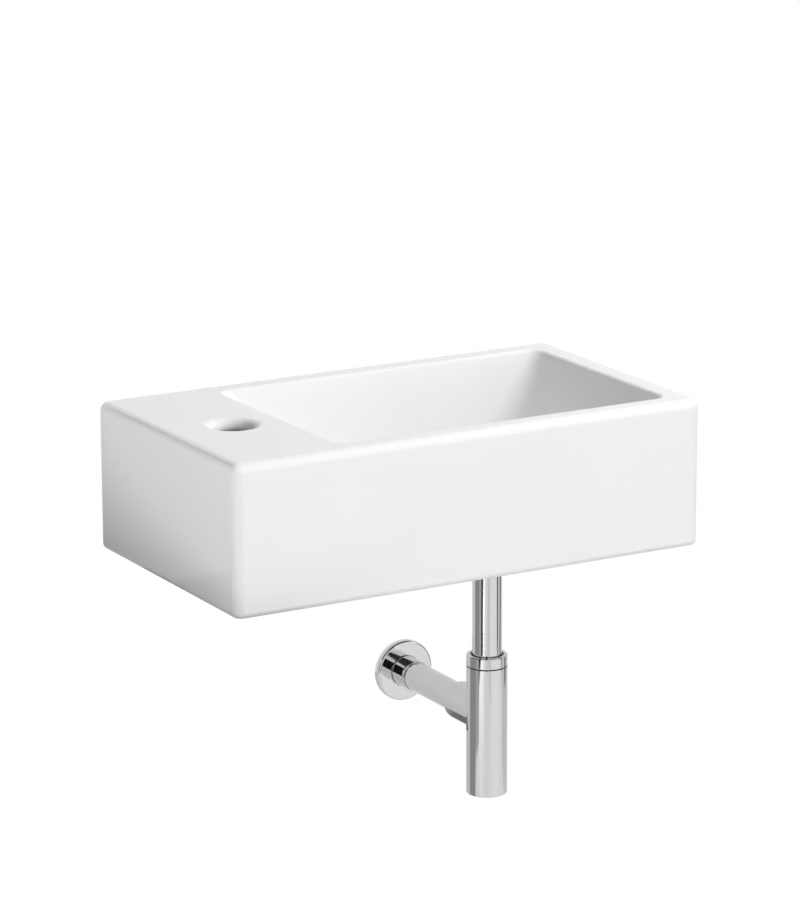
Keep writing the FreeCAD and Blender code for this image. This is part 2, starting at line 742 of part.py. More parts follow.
def make_outlet_seal():
    seal = new_body("outlet_seal", ("trap_right_of_centre", "-branch_end_from_wall - outlet_seal_place",
                                    "outlet_axis"))
    turned_to_wall(seal, "outlet_seal_ring", tube_outline(
        "slide_radius", "slide_radius + outlet_seal_wire", "-outlet_seal_wire / 2", "outlet_seal_wire / 2"))
    return seal


def make_cleaning_plug():
    """The screwed plug in the foot of the bottle, a shallow cup with a coin slot and a ring groove."""
    body = new_body("cleaning_plug", on_trap)
    turned(body, "cleaning_turned", [
        ("0", "trap_foot"), ("cleaning_radius", "trap_foot"),
        ("cleaning_radius", "cleaning_seal_level - cleaning_groove_half"),
        ("cleaning_groove", "cleaning_seal_level - cleaning_groove_half"),
        ("cleaning_groove", "cleaning_seal_level + cleaning_groove_half"),
        ("cleaning_radius", "cleaning_seal_level + cleaning_groove_half"),
        ("cleaning_radius", "cleaning_top"), ("cleaning_bore", "cleaning_top"),
        ("cleaning_bore", "trap_foot + cleaning_wall"), ("0", "trap_foot + cleaning_wall"),
    ])
    slot = new_sketch(body, "coin_slot_plan", "XY_Plane", "trap_foot")
    half_length, half_width = "cleaning_slot_length / 2", "cleaning_slot_width / 2"
    draw_outline(slot, [
        ("-" + half_length, "-" + half_width), (half_length, "-" + half_width),
        (half_length, half_width), ("-" + half_length, half_width),
    ])
    feature(body, "Pocket", "coin_slot", slot, Length="cleaning_slot_depth", Reversed=True)
    seal = new_body("cleaning_seal", on_trap)
    turned(seal, "cleaning_seal_ring", tube_outline(
        "cleaning_groove + thread_fit", "trap_bore - sliding_fit",
        "cleaning_seal_level - cleaning_seal_wire / 2", "cleaning_seal_level + cleaning_seal_wire / 2"))
    return [body, seal]


def make_outlet():
    """The straight outlet pipe, the sleeve over it at the wall, and the hollow wall rosette."""
    on_outlet = ("trap_right_of_centre", "0", "outlet_axis")
    pipe = new_body("outlet_pipe", on_outlet)
    turned_to_wall(pipe, "outlet_turned", [
        ("tube_bore", "outlet_start"), ("tube_radius", "outlet_start"), ("tube_radius", "spigot_start"),
        ("spigot_radius", "spigot_start"), ("spigot_radius", "outlet_past_wall"),
        ("tube_bore", "outlet_past_wall"),
    ])
    sleeve = new_body("wall_sleeve", on_outlet)
    turned_to_wall(sleeve, "sleeve_turned", tube_outline(
        "slide_radius", "sleeve_radius", "-sleeve_reach", "sleeve_past_wall"))
    rosette = new_body("rosette", on_outlet)
    dish = turned_to_wall(rosette, "rosette_turned", [
        ("rosette_hole", "-rosette_depth"), ("rosette_radius", "-rosette_depth"), ("rosette_radius", "0"),
        ("rosette_radius - rosette_wall", "0"), ("rosette_radius - rosette_wall", "rosette_back"),
        ("rosette_hole + rosette_wall", "rosette_back"),
        ("rosette_hole + rosette_wall", "rosette_lip - rosette_depth"),
        ("rosette_hole", "rosette_lip - rosette_depth"),
    ])
    ease(rosette, "rosette_rim", dish, "rosette_edge", ring_at("rosette_radius", "-rosette_depth", "Y"))
    return [pipe, sleeve, rosette]


nodes = [make_basin()]
nodes += make_fixings()
nodes += make_waste()
nodes += make_plug()
nodes += make_inlet()
nodes += make_collar()
nodes += [make_trap_body(), make_outlet_seal()]
nodes += make_cleaning_plug()
nodes += make_outlet()
doc.recompute()

for item in doc.Objects:
    if "Invalid" in item.State or "Error" in item.State:
        raise RuntimeError("%s failed: %s" % (item.Label, item.State))
for node in nodes:
    if node.Shape.isNull() or not node.Shape.isValid() or not node.Shape.Solids:
        raise RuntimeError("%s has no sound shape" % node.Label)

os.makedirs("parts", exist_ok=True)
for node in nodes:
    node.Shape.exportStep("parts/%s.step" % node.Label)
    print("%-20s %d solid(s) %12.1f mm3" % (node.Label, len(node.Shape.Solids), node.Shape.Volume))
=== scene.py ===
import json
import math
import bmesh
import bpy
import numpy as np
from mathutils import Matrix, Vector
from mathutils.geometry import tessellate_polygon


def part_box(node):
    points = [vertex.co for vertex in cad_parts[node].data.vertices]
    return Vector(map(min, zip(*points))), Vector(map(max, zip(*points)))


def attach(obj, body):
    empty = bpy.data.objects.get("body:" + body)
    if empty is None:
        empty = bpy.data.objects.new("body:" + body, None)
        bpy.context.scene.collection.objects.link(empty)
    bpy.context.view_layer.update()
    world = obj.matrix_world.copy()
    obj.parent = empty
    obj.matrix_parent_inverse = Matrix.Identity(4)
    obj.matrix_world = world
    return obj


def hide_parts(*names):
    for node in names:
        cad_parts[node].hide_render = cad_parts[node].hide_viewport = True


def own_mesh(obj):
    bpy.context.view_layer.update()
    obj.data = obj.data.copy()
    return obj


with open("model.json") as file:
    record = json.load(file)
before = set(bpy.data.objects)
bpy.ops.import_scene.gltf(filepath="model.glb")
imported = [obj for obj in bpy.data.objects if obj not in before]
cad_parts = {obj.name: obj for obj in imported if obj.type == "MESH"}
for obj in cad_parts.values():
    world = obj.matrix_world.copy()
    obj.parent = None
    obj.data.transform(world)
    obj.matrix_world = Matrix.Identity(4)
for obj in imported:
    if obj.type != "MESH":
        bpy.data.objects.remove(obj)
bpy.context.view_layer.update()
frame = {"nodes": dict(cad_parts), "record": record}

mm = 0.001          # lengths below are in millimetres until a mesh is made


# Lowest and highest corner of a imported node, in millimetres.
def corners(node):
    low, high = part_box(node)
    return np.array(low) / mm, np.array(high) / mm


# Centre, outer radius, near end and far end of a round node along its axis.
def nodeRound(node, axis="Z"):
    low, high = corners(node)
    along = 2 if axis == "Z" else 1
    centre = (low + high) / 2
    centre[along] = 0
    return centre, (high[0] - low[0]) / 2, low[along], high[along]


# Profile through (across, along, radius) points. A corner with a radius becomes a true arc: a quadratic
# through its two tangent points, weighted by the cosine of half the turn.
def roundCorners(points, closed=True, steps=8, hold=0.15):
    places = np.array([point[:2] for point in points], float)
    parts = []
    for index, (across, along, radius) in enumerate(points):
        here = places[index]
        if radius == 0 or (not closed and index in (0, len(points) - 1)):
            parts.append(here[None])
            continue
        back = places[index - 1] - here
        ahead = places[(index + 1) % len(places)] - here
        back /= np.linalg.norm(back)
        ahead /= np.linalg.norm(ahead)
        half = (math.pi - math.acos(np.clip(back @ ahead, -1, 1))) / 2
        start, end = here + back * radius * math.tan(half), here + ahead * radius * math.tan(half)
        parts += [(start + back * hold)[None], arcBetween(start, here, end, math.cos(half), steps),
                  (end + ahead * hold)[None]]
    return np.vstack(parts)


# Circular arc from start to end whose tangents meet at middle; steps + 1 rows.
def arcBetween(start, middle, end, weight, steps):
    share = np.linspace(0, 1, steps + 1).reshape((-1,) + (1,) * np.ndim(start))
    low, mid, high = (1 - share) ** 2, 2 * weight * share * (1 - share), share ** 2
    return (low * start + mid * middle + high * end) / (low + mid + high)


# Quads of a grid of rows by columns, wrapped round where it is closed.
def gridFaces(rows, columns, closeRows=False, closeColumns=True):
    down = np.arange(rows if closeRows else rows - 1)[:, None]
    along = np.arange(columns if closeColumns else columns - 1)[None, :]
    nextDown, nextAlong = (down + 1) % rows, (along + 1) % columns
    quads = [down * columns + along, down * columns + nextAlong,
             nextDown * columns + nextAlong, nextDown * columns + along]
    return np.stack([np.broadcast_to(q, (down.size, along.size)) for q in quads], -1).reshape(-1, 4)


# Points at (radius, distance, angle) about an axis through the centre, as one list.
def aboutAxis(radius, distance, angle, centre, axis):
    across, side = radius * np.cos(angle), radius * np.sin(angle)
    parts = (across, side, distance) if axis == "Z" else (across, distance, side)
    return np.stack(parts, -1).reshape(-1, 3) + np.array(centre, float)


# Surface of revolution: each (radius, distance) of a closed profile goes round the axis. shape(radius,
# distance, angle) may change the radius on the way.
def lathe(profile, centre, axis="Z", steps=128, shape=None):
    angle = np.linspace(0, 2 * math.pi, steps, endpoint=False)[None, :]
    radius, distance = profile[:, :1] + 0 * angle, profile[:, 1:] + 0 * angle
    if shape:
        radius = shape(radius, distance, angle)
    return aboutAxis(radius, distance, angle, centre, axis), gridFaces(len(profile), steps, closeRows=True)


# Triangles of a level face between its outer loop and its holes.
def flatFill(*loops):
    triangles = tessellate_polygon([[tuple(point) for point in loop] for loop in loops])
    return np.vstack(loops), np.array(triangles)


# Several surfaces as one: the points follow each other, and the faces stay in their own arrays.
def joinSurfaces(*surfaces):
    points, groups, first = [], [], 0
    for spots, faces in surfaces:
        points.append(spots)
        groups += [group + first for group in (faces if isinstance(faces, list) else [faces])]
        first += len(spots)
    return np.vstack(points), groups


# Mesh of a surface, with its doubles merged and its faces outward.
def closedMesh(name, surface):
    points, faces = surface
    groups = faces if isinstance(faces, list) else [faces]
    mesh = bpy.data.meshes.new(name)
    mesh.from_pydata((points * mm).tolist(), [], [face for group in groups for face in group.tolist()])
    shell = bmesh.new()
    shell.from_mesh(mesh)
    bmesh.ops.remove_doubles(shell, verts=shell.verts, dist=2e-6)
    bmesh.ops.dissolve_degenerate(shell, dist=1e-6, edges=shell.edges)
    bmesh.ops.recalc_face_normals(shell, faces=shell.faces)
    shell.to_mesh(mesh)
    shell.free()
    return mesh


# A new object, put in the scene.
def newObject(name, data):
    thing = bpy.data.objects.new(name, data)
    bpy.context.scene.collection.objects.link(thing)
    return thing


# One mesh object, in place, with its holes cut: smooth but for its sharp edges, on its body, with its material, the
# nodes it stands for hidden.
def makePiece(name, surface, material, body, nodes, sharpAngle=32, holes=()):
    piece = newObject(name, closedMesh(name, surface))
    for hole in holes:
        cutOut(piece, hole)
    piece.data.shade_smooth()
    piece.data.set_sharp_from_angle(angle=math.radians(sharpAngle))
    piece.data.materials.clear()
    piece.data.materials.append(material)
    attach(piece, body)
    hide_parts(*nodes)
    return piece


# A piece that is one rounded profile turned about its axis; pair, if given, sets it out on either side.
def makeTurned(name, points, centre, material, body, node, axis="Z", steps=4, hold=0.06, around=128, pair=None):
    surface = lathe(roundCorners(points, steps=steps, hold=hold), centre, axis, around)
    return makePiece(name, pair(surface) if pair else surface, material, body, [node])


# Takes a closed surface out of the piece and keeps the result as its mesh.
def cutOut(piece, surface):
    cutter = newObject("cutter", closedMesh("cutter", surface))
    cut = piece.modifiers.new("cut", "BOOLEAN")
    cut.operation, cut.solver, cut.object = "DIFFERENCE", "EXACT", cutter
    bpy.context.view_layer.update()
    done = bpy.data.meshes.new_from_object(piece.evaluated_get(bpy.context.evaluated_depsgraph_get()))
    piece.modifiers.clear()
    piece.data = done
    done.name = piece.name
    bpy.data.objects.remove(cutter)


# A closed surface with another one taken out of it, as a surface again.
def carved(surface, hole):
    block = newObject("block", closedMesh("block", surface))
    cutOut(block, hole)
    points = np.array([vertex.co for vertex in block.data.vertices]) / mm
    bySize = {}
    for polygon in block.data.polygons:
        bySize.setdefault(len(polygon.vertices), []).append(list(polygon.vertices))
    bpy.data.objects.remove(block)
    return points, [np.array(faces) for faces in bySize.values()]


# sRGB hex to the linear colour that the shader takes.
def hexToLinear(code):
    parts = [int(code[place:place + 2], 16) / 255 for place in (1, 3, 5)]
    return [c / 12.92 if c <= 0.04045 else ((c + 0.055) / 1.055) ** 2.4 for c in parts] + [1.0]


# Sets a node's inputs, listed in order or by name: each to a value or hex colour, to the socket that feeds it,
# or to a node's first live output.
def feed(tree, node, inputs):
    for key, source in (enumerate(inputs) if isinstance(inputs, list) else inputs.items()):
        if isinstance(source, str):
            source = hexToLinear(source)
        if isinstance(source, bpy.types.Node):
            source = next(socket for socket in source.outputs if socket.enabled)
        if isinstance(source, bpy.types.NodeSocket):
            tree.links.new(source, node.inputs[key])
        else:
            node.inputs[key].default_value = source


# A new node with its settings and what feeds it.
def addNode(tree, kind, inputs=None, **settings):
    node = tree.nodes.new("ShaderNode" + kind)
    for key, setting in settings.items():
        setattr(node, key, setting)
    feed(tree, node, inputs or {})
    return node


# An empty material: its node tree, its shader and the place on the piece in the object's own coordinates.
def newMaterial(name):
    material = bpy.data.materials.new(name)
    material.use_nodes = True
    tree = material.node_tree
    shader = tree.nodes["Principled BSDF"]
    place = addNode(tree, "TexCoord").outputs["Object"]
    return material, tree, shader, place


# Vitreous china, slip cast, glazed and fired once: bright and almost white, with a glaze that flows a
# little before it sets, so its reflections waver; the faces that stood in the kiln or meet the wall stay bare.
# The glaze is sprayed thin and duller on the hidden underside and inside the tap hole, and its colour there is
# darkened further as painted shade.
glaze = {"colour": "#F5F5F5", "deepColour": "#F2F2F2", "bareColour": "#DDD8CC", "thinGlazeAndShadeColour": "#B9B6AE",
         "roughness": 0.09, "thinRoughness": 0.4, "bareRoughness": 0.75, "wave": 85.0, "waveHeight": 0.05,
         "peel": 2.4, "peelHeight": 0.0012, "grit": 0.5, "gritHeight": 0.05, "flare": 9.0, "apron": 11.5,
         "bareDepth": 0.4, "ior": 1.52}


def glazedVitreousChina():
    material, tree, shader, place = newMaterial("glazed vitreous china")
    low, high = (corner * mm for corner in corners("basin"))
    axes = addNode(tree, "SeparateXYZ", [place]).outputs
    skin = glaze["bareDepth"] * mm
    foot = addNode(tree, "Math", [axes["Z"], low[2] + skin], operation="LESS_THAN")
    rear = addNode(tree, "Math", [axes["Y"], high[1] - skin], operation="GREATER_THAN")
    bare = addNode(tree, "Math", [foot, rear], operation="MAXIMUM")
    # the underside: inside the apron, below the flare of the tap hole, on faces that don't look up
    facing = addNode(tree, "SeparateXYZ", [addNode(tree, "NewGeometry").outputs["Normal"]]).outputs["Z"]
    hidden = addNode(tree, "Math", [facing, 0.05], operation="LESS_THAN")
    apron = glaze["apron"] * mm
    for socket, middle, half in (("X", 0, high[0] - apron), ("Y", (low[1] + high[1]) / 2, -low[1] / 2 - apron),
                                 ("Z", low[2], high[2] - glaze["flare"] * mm - low[2])):
        within = addNode(tree, "Math", [axes[socket], middle, half], operation="COMPARE")
        hidden = addNode(tree, "Math", [hidden, within], operation="MULTIPLY")
    noise = {}
    for name, detail in (("wave", 2.0), ("peel", 1.0), ("grit", 4.0)):
        noise[name] = addNode(tree, "TexNoise", {"Vector": place, "Scale": 1 / (glaze[name] * mm), "Detail": detail})
    grit = addNode(tree, "Math", [noise["grit"], bare], operation="MULTIPLY")
    colour, rough, relief = glaze["colour"], glaze["roughness"], {}
    # the thin colour of the underside and tap hole is partly thin glaze and partly painted shade
    for share, other in ((noise["wave"], "deepColour"), (hidden, "thinGlazeAndShadeColour"), (bare, "bareColour")):
        colour = addNode(tree, "Mix", {"Factor": share, "A": colour, "B": glaze[other]}, data_type="RGBA")
    for share, other in ((hidden, "thinRoughness"), (bare, "bareRoughness")):
        rough = addNode(tree, "MapRange", {"Value": share, "To Min": rough, "To Max": glaze[other]})
    for height, depth in ((noise["wave"], "waveHeight"), (noise["peel"], "peelHeight"), (grit, "gritHeight")):
        relief = {"Normal": addNode(tree, "Bump", {"Height": height, "Distance": glaze[depth] * mm, **relief})}
    feed(tree, shader, {"Base Color": colour, "Roughness": rough, "IOR": glaze["ior"], **relief})
    return material


# Brass, polished, nickelled and chromium plated: a hard mirror, a little blue, with the faint
# waver of hand polishing and a bloom of wiping marks in its roughness.
chrome = {"colour": "#D5D6D7", "roughness": 0.035, "bloom": 0.09, "wipe": 6.0, "wipeStretch": 0.25,
          "polish": 14.0, "polishHeight": 0.004}


def chromePlatedBrass():
    material, tree, shader, place = newMaterial("chrome-plated brass")
    wipe = addNode(tree, "Mapping", {"Vector": place, "Scale": (1.0, 1.0, chrome["wipeStretch"])})
    marks = addNode(tree, "TexNoise", {"Vector": wipe, "Scale": 1 / (chrome["wipe"] * mm), "Detail": 5.0})
    rough = addNode(tree, "MapRange", {"Value": marks, "From Min": 0.35, "From Max": 0.85,
                                       "To Min": chrome["roughness"], "To Max": chrome["bloom"]})
    waver = addNode(tree, "TexNoise", {"Vector": place, "Scale": 1 / (chrome["polish"] * mm), "Detail": 1.0})
    bump = addNode(tree, "Bump", {"Height": waver, "Distance": chrome["polishHeight"] * mm})
    feed(tree, shader, {"Base Color": chrome["colour"], "Metallic": 1.0, "Roughness": rough, "Normal": bump})
    return material


# colour and reach of the painted shade in the trap's seam and in the collar's mouth
seamShade = {"colour": "#1E1D1C", "seamHalf": 0.55, "mouth": 14.9, "mouthFloor": -126.0}


# Chrome of the trap and its collar, with painted shade in the seam between them (by height) and round the pipe in
# the collar's mouth (by distance from the axis), which draws both as fine dark lines.
def seamShadedChrome(seamLevel, centre):
    material = chromePlatedBrass()
    material.name = "chrome-plated brass, shaded seams"
    tree = material.node_tree
    shader = tree.nodes["Principled BSDF"]
    place = addNode(tree, "TexCoord").outputs["Object"]
    level = addNode(tree, "SeparateXYZ", [place]).outputs["Z"]
    above = addNode(tree, "Math", [level, seamLevel], operation="SUBTRACT")
    apart = addNode(tree, "Math", [above], operation="ABSOLUTE")
    seam = addNode(tree, "Math", [apart, seamShade["seamHalf"] * mm], operation="LESS_THAN")
    outward = addNode(tree, "VectorMath", [place, (centre[0], centre[1], 0)], operation="SUBTRACT")
    flat = addNode(tree, "VectorMath", [outward, (1, 1, 0)], operation="MULTIPLY")
    reach = addNode(tree, "VectorMath", [flat], operation="LENGTH").outputs["Value"]
    near = addNode(tree, "Math", [reach, seamShade["mouth"] * mm], operation="LESS_THAN")
    high = addNode(tree, "Math", [level, seamShade["mouthFloor"] * mm], operation="GREATER_THAN")
    mouth = addNode(tree, "Math", [near, high], operation="MULTIPLY")
    dark = addNode(tree, "Math", [seam, mouth], operation="MAXIMUM")
    colour = addNode(tree, "Mix", {"Factor": dark, "A": chrome["colour"], "B": seamShade["colour"]}, data_type="RGBA")
    metal = addNode(tree, "Math", [1.0, dark], operation="SUBTRACT")
    feed(tree, shader, {"Base Color": colour, "Metallic": metal})
    return material


# A plain stock finish: two near tones in a fine grain, the same grain in its relief.
def speckled(name, light, dark, grain, roughness, metallic=0.0, ior=None, bumpHeight=0.01):
    material, tree, shader, place = newMaterial(name)
    grainNoise = addNode(tree, "TexNoise", {"Vector": place, "Scale": 1 / (grain * mm), "Detail": 4.0})
    colour = addNode(tree, "Mix", {"Factor": grainNoise, "A": dark, "B": light}, data_type="RGBA")
    rough = addNode(tree, "MapRange", {"Value": grainNoise, "To Min": roughness[0], "To Max": roughness[1]})
    bump = addNode(tree, "Bump", {"Height": grainNoise, "Distance": bumpHeight * mm})
    feed(tree, shader, {"Base Color": colour, "Metallic": metallic, "Roughness": rough, "Normal": bump})
    if ior:
        feed(tree, shader, {"IOR": ior})
    return material


china = glazedVitreousChina()
chromium = chromePlatedBrass()
collarLow, collarHigh = corners("collar_nut")
seamShadedChromium = seamShadedChrome(collarLow[2] * mm, (collarLow + collarHigh) / 2 * mm)
# free-cutting brass, turned: warm yellow with tool marks
brass = speckled("turned brass", "#D8B66A", "#B8924A", 0.8, (0.22, 0.38), metallic=1.0)
# zinc-plated steel, barrel plated: grey with a cloudy spangle
zinc = speckled("zinc-plated steel", "#C8CACB", "#A9ACAE", 1.5, (0.3, 0.45), metallic=1.0)
# stainless wire, drawn
wire = speckled("drawn stainless wire", "#B9BABC", "#A2A4A7", 0.4, (0.25, 0.35), metallic=1.0)
# EPDM rubber, moulded: black and dull, with a dusting of talc
rubber = speckled("moulded EPDM rubber", "#26272A", "#1A1B1D", 0.6, (0.6, 0.8), ior=1.5, bumpHeight=0.02)
# nylon 6, injection moulded: milky white, half matt
nylon = speckled("moulded nylon", "#E9E8E2", "#DDDCD4", 0.7, (0.4, 0.5), ior=1.53)
print("materials made")


basin = {"edge": 8, "corner": 9, "foot": 5, "apron": 12, "apronCorner": 6, "deck": 16, "deckWidth": 104,
         "rimRight": 22, "rimFront": 22, "rimBack": 23, "rimRound": 4, "bowlDepth": 85, "shell": 11,
         "bowlCorner": 11, "floorCorner": 46, "floorBlend": 22, "runs": (60, 38, 12, 12),
         "tapRadius": 17.5, "tapFlare": 8.5, "tapPlace": (63, 131), "recessRadius": 29, "recessDepth": 4,
         "drainRadius": 18, "boltHole": 7, "boltSpacing": 280, "cornerSteps": 20, "hold": 0.2}


# Plan of a rectangle with round corners, anticlockwise from the front right corner's start; sizes may be
# columns, for a stack of rings. Returns the points and their outward normals.
def roundedRing(left, right, front, back, radius, steps):
    turn = np.linspace(0, math.pi / 2, steps + 1)
    angle = (turn[None, :] + np.array([-0.5, 0, 0.5, 1])[:, None] * math.pi).ravel()
    corner = np.repeat(np.arange(4), steps + 1)
    eastward, northward = np.isin(corner, (0, 1)), np.isin(corner, (1, 2))
    centreX = np.where(eastward, right - radius, left + radius)
    centreY = np.where(northward, back - radius, front + radius)
    normals = np.stack([np.cos(angle), np.sin(angle)], -1)
    return np.stack([centreX + radius * normals[:, 0], centreY + radius * normals[:, 1]], -1), normals


# A plan ring, or a stack of them, lifted to its level.
def raised(ring, level):
    return np.concatenate([ring, np.broadcast_to(level, ring.shape[:-1] + (1,))], -1)


# Surface through a stack of rings, each wrapped round.
def stackSurface(rows):
    rows = np.asarray(rows)
    return rows.reshape(-1, 3), gridFaces(rows.shape[0], rows.shape[1])


# Ruled wall from the bowl's plan at fromLevel to its plan at toLevel, with an arc where it leaves the level
# face above and another where it meets the floor. growth is the shell's thickness.
def bowlWall(top, fromLevel, toLevel, growth, topRound, bottomRound):
    d = basin
    low, high = corners("basin")
    run = d["runs"]

    # the plan at a level: sides and corners go from the rim's to the floor's with the depth
    def plan(level):
        share = (top - level) / d["bowlDepth"]
        return roundedRing(low[0] + d["deckWidth"] + run[0] * share - growth,
                           high[0] - d["rimRight"] - run[1] * share + growth,
                           low[1] + d["rimFront"] + run[2] * share - growth,
                           high[1] - d["rimBack"] - run[3] * share + growth,
                           d["bowlCorner"] + (d["floorCorner"] - d["bowlCorner"]) * share + growth, d["cornerSteps"])
    upper, normals = plan(fromLevel)
    lower = plan(toLevel)[0]
    upper, lower, outward = raised(upper, fromLevel), raised(lower, toLevel), raised(normals, 0)
    slope = lower - upper
    slope /= np.linalg.norm(slope, axis=1, keepdims=True)
    half = np.arccos(np.clip(-(outward * slope).sum(1), -1, 1))[:, None] / 2
    topReach, bottomReach = topRound * np.tan(half), bottomRound * np.tan(half)
    rim = arcBetween(upper + outward * topReach, upper, upper + slope * topReach, np.cos(half), 8)
    blend = arcBetween(lower - slope * bottomReach, lower, lower - outward * bottomReach, np.cos(half), 14)
    share = np.linspace(0, 1, 14)[1:-1, None, None]
    wall = rim[-1] * (1 - share) + blend[0] * share
    edge, floor = rim[:1] + outward * d["hold"], blend[-1:] - outward * d["hold"]
    return np.vstack([edge, rim, wall, blend, floor])


# The basin as one closed skin: skirt, bowl, shell, tap hole and drain are stacks of rings, joined by level faces.
def makeBasin():
    d = basin
    low, high = corners("basin")
    top, floorLevel = high[2], high[2] - d["bowlDepth"]
    ceiling, underside = top - d["deck"], floorLevel - d["shell"]
    # skirt: a profile of (inset, level) carried round the plan, down the outside and up the inside
    outer = roundCorners([(d["edge"] + 0.4, top, 0), (0, top, d["edge"] - 0.01),
                          (0, low[2], d["foot"]), (7, low[2], 0)], closed=False, steps=12)
    inner = roundCorners([(8.5, low[2], 0), (d["apron"], low[2], 2), (d["apron"], ceiling, 4),
                          (d["apron"] + 4.6, ceiling, 0)], closed=False, steps=8)
    inset = np.vstack([outer, inner])
    radius = np.concatenate([np.maximum(d["corner"] - outer[:, 0], 0.6),
                             d["apronCorner"] + d["apron"] - inner[:, 0]])[:, None]
    depth = inset[:, :1]
    skirt = raised(roundedRing(low[0] + depth, high[0] - depth, low[1] + depth, high[1] - depth, radius,
                               d["cornerSteps"])[0], inset[:, 1][:, None, None])
    bowl = bowlWall(top, top, floorLevel, 0, d["rimRound"], d["floorBlend"])
    shell = bowlWall(top, ceiling, underside, d["shell"], 5, d["floorBlend"] + d["shell"])
    # tap hole: from the deck down a flare, to a softened edge in the ceiling
    tapX, tapY = low[0] + d["tapPlace"][0], high[1] - d["tapPlace"][1]
    flare = roundCorners([(d["tapRadius"] + d["tapFlare"] + 0.6, top, 0),
                          (d["tapRadius"], top, d["tapFlare"]), (d["tapRadius"], ceiling, 1.2),
                          (d["tapRadius"] + 2.4, ceiling, 0)], closed=False, steps=14)
    trapX, trapY = nodeRound("tailpipe")[0][:2]
    seat = floorLevel - d["recessDepth"]
    drain = roundCorners([(d["recessRadius"] + 3, floorLevel, 0), (d["recessRadius"], floorLevel, 1.6),
                          (d["recessRadius"], seat, 1.2), (d["drainRadius"], seat, 0.8),
                          (d["drainRadius"], underside, 1.2), (d["drainRadius"] + 2.4, underside, 0)],
                         closed=False, steps=6)
    angle = np.linspace(0, 2 * math.pi, 96, endpoint=False)

    # a profile of (radius, level) turned about an upright axis
    def round3d(profile, x, y):
        return np.stack([x + profile[:, :1] * np.cos(angle), y + profile[:, :1] * np.sin(angle),
                         profile[:, 1:] + 0 * angle], -1)
    tap, outlet = round3d(flare, tapX, tapY), round3d(drain, trapX, trapY)
    surface = joinSurfaces(*(stackSurface(rows) for rows in (skirt, bowl, shell, tap, outlet)),
        flatFill(skirt[0], bowl[0], tap[0]), flatFill(skirt[-1], shell[0], tap[-1]),
        flatFill(bowl[-1], outlet[0]), flatFill(shell[-1], outlet[-1]))
    drill = np.array([(0, -20), (d["boltHole"], -20), (d["boltHole"], 5), (0, 5)], float)
    holes = [lathe(drill, (side * d["boltSpacing"] / 2, 0, 0), "Y", 48) for side in (-1, 1)]
    makePiece("glazed_basin", surface, china, "basin", ["basin"], holes=holes)


makeBasin()
print("basin made")


# Radius of a hexagon across its flats, its corners cut back a little and turned off by a 30 degree cone
# at either end.
def hexagonShape(flats, top, foot):
    # only the outside, which the nut's profile gives a larger radius, is drawn in to the hexagon
    def shape(radius, distance, angle):
        corner = np.mod(angle, math.pi / 3) - math.pi / 6
        hexagon = np.minimum(flats / 2 / np.cos(corner), flats / math.sqrt(3) - 0.02 * flats / 2)
        cone = flats / 2 + np.minimum(top - distance, distance - foot) / math.tan(math.radians(30))
        return np.where(radius > flats / 2 - 0.1, np.minimum(hexagon, cone), radius)
    return shape


# Hexagon nut round a turned bore. bore lists (radius, height over the nut's foot) from its top down.
def hexNut(node, flats, bore, axis="Z", steps=144):
    centre, _, foot, top = nodeRound(node, axis)
    cut = 0.16 * flats / 2 * math.tan(math.radians(30))
    levels = np.concatenate([foot + np.linspace(0, cut, 5), top - np.linspace(cut, 0, 5)])
    outside = np.stack([np.full(10, float(flats)), levels], -1)
    face = flats / 2 - 0.3
    inside = np.array([(radius, foot + height) for radius, height in bore])
    return lathe(np.vstack([outside, [(face, top)], inside, [(face, foot)]]), centre, axis, steps,
                 hexagonShape(flats, top, foot))


# Helical rows of a thread as (radius, distance): the distance climbs one pitch in each turn, four rows to a
# pitch make its root and its crest, and both ends run out into the root.
def threadRows(start, end, root, crest, pitch, steps):
    row = np.arange(4 * (math.ceil((end - start) / pitch) + 2))
    phase, height = np.array([0, 0.14, 0.5, 0.64])[row % 4], np.array([0, 0, 1, 1])[row % 4]
    turn = np.linspace(0, 1, steps + 1)[None, :]
    distance = start + (row // 4 - 1 + phase)[:, None] * pitch + turn * pitch
    fade = np.clip((distance - start) / pitch, 0, 1) * np.clip((end - distance) / pitch, 0, 1)
    return np.stack([root + (crest - root) * height[:, None] * fade, np.clip(distance, start, end)], -1)


# Plain rings as rows of the same grid, from (radius, distance) points.
def ringRows(points, steps):
    return np.repeat(np.asarray(points, float)[:, None, :], steps + 1, axis=1)


# Surface through such rows round an axis; its first and last column meet and are merged later.
def turnedRows(rows, centre, axis="Z", closeRows=False):
    angle = np.linspace(0, 2 * math.pi, rows.shape[1])[None, :]
    points = aboutAxis(rows[..., 0], rows[..., 1], angle, centre, axis)
    return points, gridFaces(rows.shape[0], rows.shape[1], closeRows=closeRows, closeColumns=False)


tube = {"wall": 1.0, "ledge": 2.0, "spigot": 35, "spigotStep": 0.2}


# Tailpipe: a tube with a ledge at its top, turned from one profile.
def makeTailpipe():
    centre, ledge, foot, top = nodeRound("tailpipe")
    outer = nodeRound("outlet_pipe", "Y")[1]
    inner, under = outer - tube["wall"], top - tube["ledge"]
    makeTurned("chrome_tailpipe", [(inner, foot, 0.3), (outer, foot, 0.3), (outer, under, 0.5), (ledge, under, 0.3),
                                   (ledge, top, 0.3), (inner, top, 0.3)],
               centre, chromium, "basin", "tailpipe", steps=3, hold=0.05)


collarDetail = {"bore": 13.6, "thread": 16.9, "lip": 2.8, "edge": 0.8, "footEdge": 0.5, "seam": 0.25}


